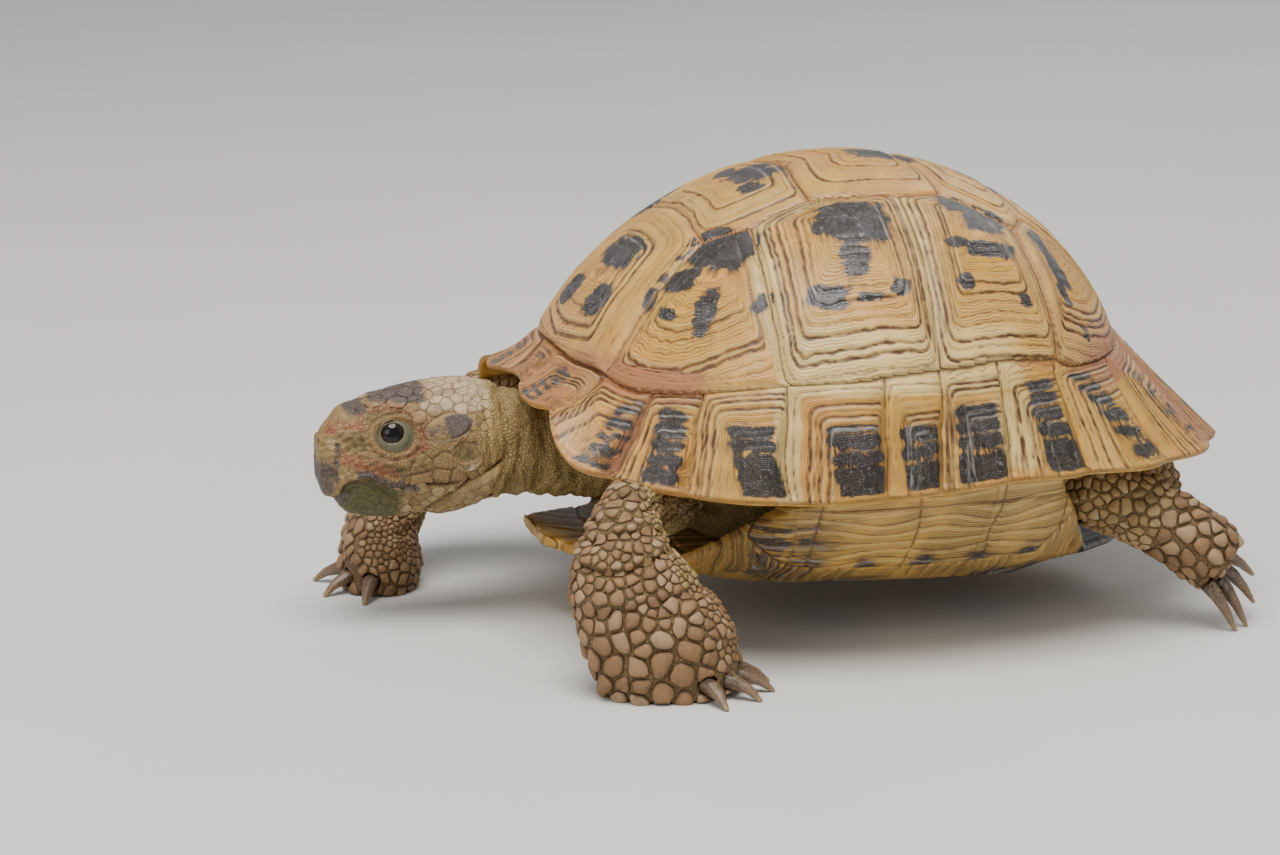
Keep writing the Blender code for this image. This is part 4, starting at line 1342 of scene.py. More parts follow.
def skin_marks(points, normals, part):
    """Slate, rose, pale and olive, soft and wet masks of the hide at each point."""
    back, out, up, side = head_place(points)
    on_head = np.isin(part, HEAD_PARTS)
    on_neck = part == "neck"
    face = on_head | (on_neck & (back < 38))
    grain = ripple(points, 0.0035, 71) * 0.5 + ripple(points, 0.0016, 72) * 0.35
    lateral = out > 3.5

    def along(line, width):
        away, _ = line_distance(back, up, line)
        away += 0.35 * width * (ripple(points, 0.0022, 73) + 0.6 * ripple(points, 0.0011, 74))
        return 1 - smooth(away, width * 0.5, width * 1.5)

    def patch(strength, centre, size, lean=0.0, soft=0.35):
        return strength * spot(back, up, centre, size, lean, soft)

    past = np.full(len(points), 9.0)
    for half in (-1.0, 1.0):
        away, height, _, _, outer = lid_measures(points, half)
        past = np.where(on_head & (side == half) & (height > 0), away - outer, past)

    crown = on_head & (out < 7.2)
    tinted = 1 - smooth(oval(back, up, *TEMPLE), 0.82, 1.0)
    slate = strongest(
        0.9 * smooth(up, 11.7, 12.5) * band(back, 8.0, 19.6, 0.8) * crown,
        patch(0.8, (5.8, 11.0), (2.2, 1.3), 10),
        tinted * smooth(back + 0.4 * up, 24.6, 27.0) * (out > 6),
        patch(0.55, (20.9, 7.0), (2.2, 2.0)) * (out > 6),
        0.7 * along(NOSE_SEAM, 0.6) * lateral,
        patch(0.8, (-0.2, -2.8), (2.0, 4.4), 0, 0.6),
        0.9 * along(LIP_BAND, 0.85) * (out > 4),
        patch(1.0, (2.6, -7.4), (1.0, 2.0), -35),
    )
    slate = np.where(face, slate, 0)

    gaps = plate_gap(back, up - 11.5, ((19, 0), (23, 1), (27, 0.5)))
    rose = strongest(
        0.72 * along(BROW_LINE, 1.2) * (out > 4),
        0.85 * along(SNOUT_LINE, 0.9) * (out > 1.5),
        0.85 * along(CHEEK_LINE, 1.5) * lateral,
        patch(0.45, (10.0, 1.4), (4.5, 2.0), -10) * lateral,
        0.5 * bell(gaps, 0.5) * (up > 10) * (back > 16),
    )
    rose = np.where(face & (past > 0.2), rose, 0)

    ear = ear_level(points, back, up)
    plates = plate_gap(back + 0.8 * out, up, BEAK_PLATES)
    pale = strongest(
        0.5 * smooth(up, 9.6, 11.0) * band(back, 17.0, 33.0, 1.5),
        0.5 * along(LIP_EDGE, 0.28) * (out > 3),
        0.6 * along(TEMPLE_EDGE, 0.4) * (out > 6),
        patch(0.35, (21.0, 7.4), (2.2, 2.2)) * (out > 6),
        0.6 * bell(ear - 1.0, 0.13) * (out > 7) * smooth(2.6 - up, 0, 2),
        patch(0.3, (28.5, -6.2), (7.5, 3.6), 28, 0.5),
        patch(0.4, (0.9, 4.4), (1.1, 1.4)),
        0.6 * bell(plates, 0.16) * (back < 3.0) * band(up, -4.5, 1.2, 0.8),
    )
    pale = np.where(face & (past > 0.2), pale, 0) * (1 - 0.8 * slate)

    _, above = line_distance(back, up, MOUTH_LINE)
    olive = strongest(
        0.9 * smooth(-above, -0.1, 0.4) * (1 - smooth(back, 12, 17)) * on_head,
        patch(0.6, (12.6, -0.9), (3.4, 1.4), -22) * on_head,
        patch(0.5, (5.4, 4.6), (2.8, 2.2)) * on_head * lateral,
        patch(0.45, (11.0, 9.9), (4.6, 1.1), 8) * on_head * lateral,
        patch(0.4, (17.6, 0.2), (2.4, 2.4)) * on_head,
        0.55 * (1 - smooth(ear, 0.6, 1.0)) * (out > 7),
    )

    inner = smooth(normals[:, 0], -0.1, 0.6)
    soft = strongest(
        0.8 * on_neck,
        0.9 * (part == "trunk"),
        0.65 * np.where(np.char.startswith(part, "leg_front"), inner, 0),
        0.4 * smooth(-normals[:, 2], 0.1, 0.8),
        0.5 * np.char.startswith(part, "leg_hind"),
        0.5 * (part == "tail"),
    )
    soft = np.where(on_head, 0.15 + 0.6 * smooth(back, 27, 32), soft)
    wet = (1 - smooth(past, -0.35, 0.1)) * on_head
    marks = np.stack([slate, rose, pale], -1) * (1 + 0.25 * grain[:, None])
    tints = np.stack([olive, soft, wet], -1)
    alpha = np.ones((len(points), 1))
    return np.hstack([np.clip(marks, 0, 1), alpha]), np.hstack([np.clip(tints, 0, 1), alpha])


# Gathers painted shade: the darkening of creases, pits, slits and folds.
def add_crease_shade(crease, mask):
    np.maximum(crease, mask, out=crease)


def sculpt_head(points, normals, part):
    """Beak, mouth, lids, brow, ear, folds of jaw and neck. Returns points, painted crease shade,
    smoothness.
    """
    back, out, up, side = head_place(points)
    on_head = np.isin(part, HEAD_PARTS)
    face = on_head | ((part == "neck") & (back < 40))
    lift, crease = np.zeros((2, len(points)))

    away, above_mouth = line_distance(back, up, MOUTH_LINE)
    mouth = on_head & (back < 28)
    slit = bell(away, 0.28) * (1 - smooth(back, 23, 27)) * mouth
    lift -= 1.0 * slit
    add_crease_shade(crease, slit)
    lift += 0.25 * bell(above_mouth - 0.9, 0.8) * mouth * (1 - smooth(back, 14, 22))
    horn = smooth(-above_mouth, 0.0, 0.4) * (1 - smooth(back, 12, 17))
    lift -= 0.70 * horn * (1 - smooth(-above_mouth, 0.9, 2.6)) * on_head
    grooves = np.sin(above_mouth * 7.0 + back * 2.2 + ripple(points, 0.006, 83))
    lift -= 0.10 * horn * (grooves > 0.3) * on_head
    add_crease_shade(crease, 0.8 * horn * smooth(grooves, 0.40, 0.95) * on_head * (out > 1.5))
    # The nose is as blunt as the solid's, and the chin as deep.
    lift += 0.35 * smooth(-normals[:, 0], 0.45, 0.95) * on_head * (back < 4) * (up < 5)
    lift -= 0.45 * bell(oval(back, up, (0.8, 9.0), (2.2, 2.6)), 0.8) * on_head
    lift += 0.45 * smooth(-normals[:, 2], 0.3, 0.8) * on_head * (back < 16)
    lift -= 0.45 * bell(oval(back, up, (8.0, 12.4), (2.4, 2.0)), 0.7) * on_head * (out < 4.5)

    nostril = oval(out, up, (1.7, 4.2), (0.62, 0.5), 25)
    pit = (1 - smooth(nostril, 0.6, 1.5)) * (back < 3.5) * on_head
    lift -= 0.9 * pit
    add_crease_shade(crease, pit)
    lift += 0.18 * bell(nostril - 1.8, 0.6) * (back < 4) * on_head
    nose, _ = line_distance(back, up, NOSE_SEAM)
    lift -= 0.25 * bell(nose, 0.4) * on_head * (out > 3)

    brow, _ = line_distance(back, up, BROW_LINE[:4])
    lift += 0.45 * bell(brow, 1.1) * face * (out > 3)
    cheek, _ = line_distance(back, up, CHEEK_RIDGE)
    lift += 0.22 * bell(cheek, 1.1) * face * (out > 5)
    lift -= 0.5 * bell(oval(back, up, (5.2, 4.2), (3.2, 2.0)), 0.8) * face * (out > 3)
    wrinkled = on_head & (out > 3) & (back < 19) & (up > -2.4)
    slant = (up - 0.25 * back) * 4.6 + ripple(points, 0.005, 85) * 2
    folds = ripple(points, 0.0022, 84) + 0.7 * np.sin(slant)
    lift += 0.12 * folds * wrinkled
    add_crease_shade(crease, 0.55 * wrinkled * smooth(-folds, 0.6, 1.6))

    gap = plate_gap(back, up, CHEEK_PLATES)
    plates = face & (out > 6) & (above_mouth > 0.4)
    plates = plates * band(back, 13.5, 29.5, 1.0) * (1 - smooth(up, 2.6, 5.2))
    plates *= smooth(oval(back, up, *EAR), 1.1, 1.3)
    lift -= 0.30 * bell(gap, 0.28) * plates
    add_crease_shade(crease, 0.75 * bell(gap, 0.20) * plates)

    temple = oval(back, up, *TEMPLE)
    lift += 0.50 * (1 - smooth(temple, 0.72, 1.02)) * face * (out > 6)
    add_crease_shade(crease, 0.7 * bell(temple - 1.06, 0.07) * face * (out > 6))
    ear = ear_level(points, back, up)
    lift -= 0.40 * (1 - smooth(ear, 0.5, 0.95)) * face * (out > 7)
    lift += 0.25 * bell(ear - 1.15, 0.15) * face * (out > 7)
    add_crease_shade(crease, 0.8 * bell(ear - 0.95, 0.09) * face * (out > 7))

    gap, above = line_distance(back, up, FOLD_LINE)
    lower = (face | ((part == "neck") & (back < 42))) & (out > 2)
    lift -= 0.8 * bell(gap, 0.35) * lower
    swelling = smooth(-above, 0.1, 1.6) * (1 - smooth(-above, 3.5, 7))
    lift += 0.75 * swelling * band(back, 21, 34, 2) * lower
    add_crease_shade(crease, bell(gap, 0.30) * lower)

    on_neck = (part == "neck") | (on_head & (back > 30))
    sway = ripple(points, 0.012, 81) * 1.1 + up * 0.10
    for place, deep, wide in NECK_FOLDS:
        lift -= deep * 0.75 * bell(back - place - sway, wide) * on_neck
        add_crease_shade(crease, 0.4 * bell(back - place - sway, wide * 0.4) * on_neck)
    pleats = np.sin(back * 2.7 + sway * 2.4 + ripple(points, 0.006, 86) * 1.6)
    lift += 0.13 * pleats * on_neck
    add_crease_shade(crease, 0.38 * smooth(-pleats, 0.5, 1.0) * on_neck)
    lift += 0.3 * ripple(points, 0.007, 82) * on_neck

    points = points + normals * (lift * MM)[:, None]
    points[:, 0] = np.maximum(points[:, 0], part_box("head")[0].x)
    # The beak leans back to its tip, and the lower jaw closes behind it.
    lean = np.clip((-up - 3.4) * 0.32, 0, 1.3) * (1 - smooth(back, 0.8, 4.0)) * on_head
    lean *= smooth(above_mouth, -0.3, 0.1)
    points[:, 0] += lean * MM
    chin = smooth(-above_mouth, 0.0, 0.7) * (1 - smooth(back, 1.0, 5.0)) * on_head
    points[:, 0] += 1.9 * MM * chin
    smooth_skin = strongest(
        0.95 * horn * on_head,
        0.6 * (on_head & (back < 6)),
        0.8 * (1 - smooth(temple, 0.9, 1.1)) * face,
        0.6 * (1 - smooth(ear, 0.9, 1.2)) * face,
        0.35 * on_head,
        skin_marks(points, normals, part)[1][:, 2],
    )
    return open_lids(points, side, on_head, crease), crease, smooth_skin


def open_lids(points, side, on_head, crease):
    """Draws the skin back from the eyes, lays smooth lids round each, and paints shade at the lids'
    edges and inside the openings.
    """
    for half in (-1.0, 1.0):
        _, axis, _, _ = eye_frame(half)
        away, height, heading, opening, outer = lid_measures(points, half)
        near = on_head & (side == half) & (height > 0) & (away < outer + 2.5)
        share = np.clip((away - opening) / (outer - opening), 0, 1)
        lid = 3.52 - 0.80 * share + 0.26 * np.sin(np.pi * np.minimum(share * 1.2, 1))
        wrinkle = np.sin(share * 21 + 2.2 * np.sin(heading * 3) + ripple(points, 0.003, 87))
        lid += 0.035 * wrinkle * (share > 0.25)
        add_crease_shade(crease, 0.35 * smooth(-wrinkle, 0.2, 1) * (share > 0.25) * (share < 1) * near)
        past = away - outer
        blend = smooth(past, -0.05, 1.5)
        target = lid * (1 - blend) + height * blend
        target += 0.28 * bell(past - 0.75, 0.4) - 0.25 * bell(past - 1.5, 0.3)
        ball = np.sqrt(np.maximum(EYE_RADIUS ** 2 - away ** 2, 0.5)) - 1.2
        inside = 1 - smooth(away, opening - 0.25, opening)
        target = ball * inside + target * (1 - inside)
        gaze = axis * np.array([1, half, 1])
        points = points + np.where(near, (target - height) * MM, 0)[:, None] * gaze
        add_crease_shade(crease, 0.9 * bell(past, 0.16) * near)
        add_crease_shade(crease, 0.55 * bell(past - 1.5, 0.2) * near)
        # Painted shade: the upper front of each lid is darker, as if shaded by the brow.
        add_crease_shade(crease, 0.75 * smooth(np.cos(heading - 0.9), -0.1, 0.9) * (past < 0) * near)
        # Painted shade inside the opening, behind the eyeball.
        add_crease_shade(crease, 0.8 * (inside > 0.3) * near)
    return points


# Height above the floor and depth of the folds of each leg.
LEG_FOLDS = {
    "front_left": ((27, 1.0), (30.5, 0.8), (34, 0.9), (18.5, 0.5)),
    "front_right": ((22, 0.8), (26, 0.8), (30, 0.9), (15, 0.5)),
    "hind_left": ((24, 0.5), (28, 0.5)),
    "hind_right": ((14, 0.6), (19, 0.7), (25, 0.8)),
}


def sculpt_limbs(points, normals, part, crease):
    """Folds of the legs, the loose skin of the trunk and the bands of the tail, with painted shade in
    their creases.
    """
    lift = np.zeros(len(points))
    height = points[:, 2] / MM
    loose = ripple(points, 0.010, 91)
    for leg, folds in LEG_FOLDS.items():
        own = of_leg(part, leg)
        lift += own * 0.22 * loose
        for place, deep in folds:
            level = height - place - ripple(points, 0.02, 92 + int(place)) * 1.2
            level -= (points[:, 0] - points[own, 0].mean()) / MM * 0.12
            lift -= own * deep * bell(level, 0.55) * 0.8
            lift += own * deep * 0.4 * bell(level - 1.3, 0.8)
            add_crease_shade(crease, own * 0.75 * bell(level, 0.35))
    trunk = part == "trunk"
    sag = ripple(points, 0.011, 97) + 0.6 * ripple(points, 0.005, 98)
    lift += trunk * 0.45 * sag - trunk * 0.45
    add_crease_shade(crease, trunk * 0.5 * smooth(-sag, 0.5, 1.3))
    tail = part == "tail"
    bands = np.sin(height * 2.2 + loose)
    lift += tail * 0.18 * bands
    add_crease_shade(crease, tail * 0.4 * smooth(-bands, 0.6, 1.0))
    # The soles stay on the floor.
    lift *= smooth(height, 0.3, 1.6)
    return points + normals * (lift * MM)[:, None]


def of_leg(part, leg):
    """Which points belong to one leg or its foot."""
    return (part == "leg_" + leg) | (part == "foot_" + leg)


def finer_head(mesh):
    """Cuts the faces of the head in four, so that lids and folds have enough of them."""
    low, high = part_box("head")
    middle = (low.y + high.y) / 2

    def inside(vert):
        place = vert.co
        return place.x < high.x and place.z > low.z - 2 * MM and abs(place.y - middle) < 14 * MM

    shape = bmesh.new()
    shape.from_mesh(mesh)
    edges = [edge for edge in shape.edges if all(inside(vert) for vert in edge.verts)]
    bmesh.ops.subdivide_edges(shape, edges=edges, cuts=1, use_grid_fill=True)
    bmesh.ops.triangulate(shape, faces=[face for face in shape.faces if len(face.verts) > 4])
    shape.to_mesh(mesh)
    shape.free()
    mesh.update()


def make_skin(settings):
    mesh = remeshed([*FLESH, "eye_left", "eye_right"], settings.voxel, SKIN_SWELL, 10)
    finer_head(mesh)
    points, normals = mesh_points(mesh), mesh_normals(mesh)
    part = nearest_part(points)
    inset = np.where(np.isin(part, HEAD_PARTS), INSET, settings.depth)
    points -= normals * (SKIN_SWELL - INSET + inset)[:, None]
    set_points(mesh, points)
    normals = mesh_normals(mesh)
    points, crease, smooth_skin = sculpt_head(points, normals, part)
    points = sculpt_limbs(points, normals, part, crease)
    points[:, 2] = np.maximum(points[:, 2], 0.02 * MM)
    set_points(mesh, points)
    # Painted shade: the skin of the legs and feet is darkened, as between their scales.
    add_crease_shade(crease, 0.5 * (np.char.startswith(part, "leg_") | np.char.startswith(part, "foot_")))
    marks, tints = skin_marks(points, normals, part)
    store(mesh, marks=marks, tints=tints, crease=crease, smooth_skin=smooth_skin)
    skin = dress_mesh("skin", mesh, hide_material(settings))
    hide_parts(*FLESH)
    return skin, part


# ------------ scales

CLOSENESS = 0.86  # the spacing of the scales, as a share of their width
TILE_COLUMNS = 10  # tiles side by side in the flat layout
ROOT_DEPTH = 0.35  # mm in the skin at a level of -1
FIRST_RADIUS, FIRST_CORNERS = 0.78, 10  # of a scale before its neighbours cut it
NEIGHBOUR_REACH = 1.9
SMALLEST = 0.22  # scales that are cut down to less are left out
LARGE = 1.8  # mm, the width from which a scale is a high one
# Rows of a scale's corners: share of the way out, and level. 1 is its top, 0 the skin.
LARGE_PROFILE = ((1.0, -0.55), (1.0, 0.12), (0.92, 0.52), (0.70, 0.84), (0.36, 1.0))
FLAT_PROFILE = ((1.0, -0.55), (1.0, 0.10), (0.93, 0.75), (0.70, 0.95), (0.36, 1.0))
SMALL_PROFILE = ((1.0, -0.6), (0.94, 0.5), (0.55, 0.95))


def leg_span(height, normals, leg, foot):
    """The width of the scales of one leg, with large ones on the plates it shows outward."""
    outward_y = 1.0 if leg.endswith("right") else -1.0
    if leg.startswith("front"):
        plate = smooth(normals @ np.array([-0.86, 0.5 * outward_y, 0.1]), -0.15, 0.35)
        big = 2.1 + 1.7 * (1 - smooth(height, 5, 24))
        size = 1.25 + (big - 1.25) * plate
        return np.where((height < 7) & (plate < 0.5), 2.3, size)
    facing = normals @ np.array([-0.3, 0.75 * outward_y, 0.3])
    size = 1.35 + 0.9 * smooth(facing, 0.0, 0.7) + 1.2 * foot * smooth(facing, -0.4, 0.5)
    return np.maximum(size, 3.0 * smooth(-normals[:, 2], 0.2, 0.7) * foot)


def scale_spans(points, normals, part, seed):
    """The wanted width in mm of a scale at each point of the skin. 0 leaves the skin bare."""
    back, out, up, _ = head_place(points)
    height, facing_up = points[:, 2] / MM, normals[:, 2]
    vary = 1 + 0.20 * ripple(points, 0.008, seed) + 0.16 * ripple(points, 0.0032, seed + 9)
    on_sole = (facing_up < -0.75) & (height < 1.2)
    span = np.zeros(len(points))
    for leg in LEGS:
        size = leg_span(height, normals, leg, part == "foot_" + leg)
        span = np.where(of_leg(part, leg) & ~on_sole, size * vary, span)
    span = np.where(part == "tail", 1.7 * vary, span)

    face = np.isin(part, HEAD_PARTS) | ((part == "neck") & (back <= 36))
    temple_top = np.interp(back, *TEMPLE_TOP)
    _, above = line_distance(back, up, MOUTH_LINE)
    _, over = line_distance(back, up, FOLD_LINE)
    size = np.zeros(len(points))
    # A later rule covers an earlier one.
    for width, where in (
        (3.3, (up > 12.2) & (facing_up > 0.6) & (back > 4) & (out < 6.6)),
        (2.3, (back > 16.6) & (up > temple_top)),
        (1.45, (back > 27.5) & (up > 7.5)),
        (2.2, (above < -0.7) & (over > 0.5) & (back > 13.0) & (back < 25)),
        (1.7, (facing_up < -0.55) & (back > 8)),
        (0, (above > -0.5) & (up < 9.2) & (back < 28)),
        (0, back > 31.5),
    ):
        size = np.where(where, width, size)
    return np.where(face, size * (1 + 0.12 * (vary - 1)), span)


def scatter(points, spans, rng):
    """Picks points in a random order, each at its scale's spacing from those before it."""
    cell = 2.0 * MM
    keys = np.floor(points / cell).astype(int)
    wide = int(math.ceil(spans.max() * MM / cell))
    reach = {
        size: list(product(range(-size, size + 1), repeat=3)) for size in range(1, wide + 1)
    }
    taken, chosen = {}, []

    def is_free(number, spacing):
        x, y, z = keys[number]
        place = points[number]
        for i, j, k in reach[max(1, int(math.ceil(spacing / cell)))]:
            for other in taken.get((x + i, y + j, z + k), ()):
                gap = place - points[other]
                closest = 0.5 * (spacing + spans[other] * MM * CLOSENESS)
                if gap @ gap < closest * closest:
                    return False
        return True

    for number in rng.permutation(np.flatnonzero(spans > 0)).tolist():
        if is_free(number, spans[number] * MM * CLOSENESS):
            chosen.append(number)
            taken.setdefault(tuple(keys[number]), []).append(number)
    return chosen


def clipped(polygon, direction, limit):
    """The part of a flat polygon on the near side of a line."""
    result = []
    levels = [x * direction[0] + y * direction[1] - limit for x, y in polygon]
    for here, there, level, after in zip(
        polygon, polygon[1:] + polygon[:1], levels, levels[1:] + levels[:1]
    ):
        if level <= 0:
            result.append(here)
        if (level < 0 < after) or (after < 0 < level):
            share = level / (level - after)
            result.append(tuple(a + (b - a) * share for a, b in zip(here, there)))
    return result


def rounded(polygon):
    """Cuts each corner off once."""
    result = []
    for here, there in zip(polygon, polygon[1:] + polygon[:1]):
        for near, far in ((0.78, 0.22), (0.22, 0.78)):
            result.append(tuple(a * near + b * far for a, b in zip(here, there)))
    return result


def unwrap_places(points, normals, part):
    """Where each point lies on a flat layout of the skin: a tile for each part and facing."""
    numbers = np.array([FLESH.index(name) for name in part])
    axis = np.abs(normals).argmax(1)
    sign = (normals[np.arange(len(points)), axis] > 0).astype(int)
    first = np.where(axis == 0, points[:, 1], points[:, 0])
    second = np.where(axis == 2, points[:, 1], points[:, 2])
    tile = numbers * 6 + axis * 2 + sign
    layout = np.zeros((len(points), 2))
    for number in np.unique(tile):
        own = tile == number
        places = np.stack([first[own], second[own]], -1)
        low = places.min(0)
        span = max(*(places.max(0) - low), 1e-4)
        corner = np.array([number % TILE_COLUMNS, number // TILE_COLUMNS])
        layout[own] = (corner + 0.05 + 0.9 * (places - low) / span) / TILE_COLUMNS
    return layout


def downhill(normal):
    """The way down along a surface, or forward where the surface is level."""
    for way in (Vector((0, 0, -1)), Vector((-1, 0, 0))):
        down = way - normal * normal.dot(way)
        if down.length >= 0.2:
            break
    return down.normalized()


def cell_outline(number, ground, axes, gap):
    """One scale's outline, as corners across and down from its middle, cut by its neighbours."""
    centre, across, down = axes
    own_width = ground.spans[ground.seeds[number]]
    span = own_width * MM
    polygon = [
        (math.cos(turn) * span * FIRST_RADIUS, math.sin(turn) * span * FIRST_RADIUS)
        for turn in (2 * math.pi * k / FIRST_CORNERS for k in range(FIRST_CORNERS))
    ]
    for place, other, away in ground.finder.find_range(centre, span * NEIGHBOUR_REACH):
        if other == number or away < 1e-6:
            continue
        step = place - centre
        x, y = step.dot(across), step.dot(down)
        length = math.hypot(x, y)
        if length < away * 0.35:
            continue
        share = own_width / (own_width + ground.spans[ground.seeds[other]])
        polygon = clipped(polygon, (x / length, y / length), away * share - gap * 0.5 * span)
        if len(polygon) < 3:
            break
    return polygon


def on_the_skin(polygon, tree, axes, span):
    """The corners of an outline laid on the skin, and the outline without those that fall
    together there with the next one."""
    centre, across, down = axes
    border = []
    for x, y in polygon:
        above = centre + across * x + down * y
        found = tree.find_nearest(above)[0]
        border.append(found if (found - above).length < span else above)
    pairs = zip(border, border[1:] + border[:1])
    clear = [(edge - after).length > 0.02 * span for edge, after in pairs]
    return list(compress(polygon, clear)), list(compress(border, clear))


def dome_faces(start, count, rows):
    """Faces of a closed dome: a floor, rows of quads and a fan up to the last corner."""
    pairs = [(k, (k + 1) % count) for k in range(count)]
    last, top = start + (rows - 1) * count, start + rows * count
    faces = [
        (base + here, base + after, base + count + after, base + count + here)
        for base in range(start, last, count)
        for here, after in pairs
    ]
    faces += [(last + here, last + after, top) for here, after in pairs]
    faces.append(tuple(reversed(range(start, start + count))))
    return faces


class Ground:
    """What every scale needs to know of the skin below it."""

    def __init__(self, mesh, part, seed):
        self.part = part
        self.points, self.normals = mesh_points(mesh), mesh_normals(mesh)
        faces = [tuple(face.vertices) for face in mesh.polygons]
        self.tree = BVHTree.FromPolygons(self.points.tolist(), faces)
        self.spans = scale_spans(self.points, self.normals, part, seed)
        self.seeds = scatter(self.points, self.spans, np.random.default_rng(seed))
        self.layout = unwrap_places(self.points, self.normals, part)
        self.finder = kdtree.KDTree(len(self.seeds))
        for number, place in enumerate(self.points[self.seeds].tolist()):
            self.finder.insert(place, number)
        self.finder.balance()


def grow_scales(name, ground, chosen, look, height_share, gap, flat, seed):
    """Closed, domed scales over the skin, one for each chosen point, joined in one piece."""
    rng = random.Random(seed)
    verts, faces, rings, roots, spread = [], [], [], [], []
    for number in chosen:
        index = ground.seeds[number]
        width = ground.spans[index]
        span = width * MM
        centre, normal = Vector(ground.points[index]), Vector(ground.normals[index]).normalized()
        down = downhill(normal)
        axes = centre, normal.cross(down), down
        polygon = cell_outline(number, ground, axes, gap)
        if len(polygon) < 3:
            continue
        if not flat:
            polygon = rounded(polygon)
        size = max(math.hypot(x, y) for x, y in polygon)
        if size < span * SMALLEST:
            continue
        profile = FLAT_PROFILE if flat else LARGE_PROFILE if width > LARGE else SMALL_PROFILE
        tall = height_share * span * rng.uniform(0.85, 1.2)
        polygon, border = on_the_skin(polygon, ground.tree, axes, span)
        if len(polygon) < 3:
            continue
        start, tone = len(verts), rng.random()
        for factor, level in profile:
            for (x, y), edge in zip(polygon, border):
                step = edge - centre
                bulge = normal * step.dot(normal) * (factor * factor - factor)
                if level > 0:
                    depth = level * tall * (1 + 0.35 * (y / size) * factor)
                else:
                    depth = level * ROOT_DEPTH * MM
                verts.append(centre + step * factor + bulge + normal * depth)
                rings.append((factor, tone, width))
                spread.append((x / size * factor, y / size * factor))
        verts.append(centre + normal * tall * 1.02)
        rings.append((0.0, tone, width))
        spread.append((0, 0))
        roots += [index] * (len(verts) - start)
        faces += dome_faces(start, len(polygon), len(profile))
    placed = np.array([vert[:] for vert in verts])
    placed[:, 2] = np.maximum(placed[:, 2], 0.0)
    scales = new_object(name, placed, faces, look)
    mesh = scales.data
    outward(mesh)
    marks, tints = skin_marks(placed, ground.normals[roots], ground.part[roots])
    store(mesh, marks=marks, tints=tints, scale_ring=rings)
    places = ground.layout[roots] + np.array(spread) * 0.0015
    loops = np.empty(len(mesh.loops), np.int32)
    mesh.loops.foreach_get("vertex_index", loops)
    baked = mesh.uv_layers.new(name="OFBake")
    baked.data.foreach_set("uv", places[loops].astype(np.float32).ravel())


# Name, parts of the body, height and gap as shares of a scale's width, and whether it is flat.
SCALE_PIECES = (
    ("scales_head", ("head", "lower_jaw", "neck"), 0.045, 0.035, True),
    ("scales_tail", ("tail",), 0.20, 0.10, False),
    ("scales_front_left", ("leg_front_left", "foot_front_left"), 0.25, 0.10, False),
    ("scales_front_right", ("leg_front_right", "foot_front_right"), 0.25, 0.10, False),
    ("scales_hind_left", ("leg_hind_left", "foot_hind_left"), 0.25, 0.10, False),
    ("scales_hind_right", ("leg_hind_right", "foot_hind_right"), 0.25, 0.10, False),
)


def make_scales(settings, skin, part):
    ground = Ground(skin.data, part, settings.seed)
    horny = scale_material("scales", settings, settings.scale)
    thin = scale_material("head_scales", settings, settings.tan)
    for number, (name, parts, height_share, gap, flat) in enumerate(SCALE_PIECES):
        chosen = [k for k, index in enumerate(ground.seeds) if part[index] in parts]
        look = thin if flat else horny
        grow_scales(name, ground, chosen, look, height_share, gap, flat, settings.seed + number)


# ------------ eyes and claws


def make_eyes():
    look = eye_material()
    for half, name in ((-1, "left"), (1, "right")):
        centre = Vector(eye_frame(half)[0])
        axis = Vector((LID_AXIS[0], LID_AXIS[1] * half, LID_AXIS[2])).normalized()
        shape = bmesh.new()
        bmesh.ops.create_uvsphere(shape, u_segments=64, v_segments=48, radius=1)
        turned = axis.to_track_quat("Z", "Y").to_matrix()
        gaze = []
        for vert in shape.verts:
            angle = math.acos(max(-1, min(1, vert.co.z)))
            gaze.append(angle / math.radians(60))
            # The clear front of the eye stands out a little.
            radius = EYE_RADIUS * MM * (1 + 0.035 * math.exp(-((angle / 0.62) ** 4)))
            vert.co = turned @ (vert.co * radius) + centre
        mesh = mesh_from("eyeball_" + name, shape)
        store(mesh, gaze=np.clip(gaze, 0, 2))
        ball = dress_mesh("eyeball_" + name, mesh, look)
        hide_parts("eye_" + name)


def make_claws():
    look = claw_material()
    for leg, number in product(LEGS, range(1, 5)):
        foot_low, foot_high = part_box("foot_" + leg)
        root = np.array((foot_low + foot_high) / 2)
        node = f"claw_{leg}_{number}"
        mesh = remeshed([node], 0.24 * MM, 0.10 * MM, 5)
        points = mesh_points(mesh)
        away = np.linalg.norm(points - root, axis=1)
        points[:, 2] = np.maximum(points[:, 2], 0.0)
        set_points(mesh, points)
        store(mesh, along=(away - away.min()) / (away.max() - away.min()))
        claw = dress_mesh(f"nail_{leg}_{number}", mesh, look)
        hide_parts(node)


# ------------ stage

SENSOR = 36.0
# Where the shell's middle comes, from the picture's middle, as shares of the picture's width.
SHELL_ASIDE, SHELL_ABOVE = 0.15625, 0.00289
SKY = ((0.93, 0.96, 1.0, 1), 0.45)  # colour and strength
# Name, place, size, power and colour.
LAMPS = (
    ("overhead_softbox", (-0.15, -0.30, 1.1), 0.8, 17.0, (1.0, 0.98, 0.95)),
    ("front_softbox", (-1.1, -0.9, 0.75), 0.9, 4.5, (1.0, 0.97, 0.93)),
    ("rear_softbox", (0.9, 0.9, 0.9), 0.8, 4.0, (0.95, 0.98, 1.0)),
)


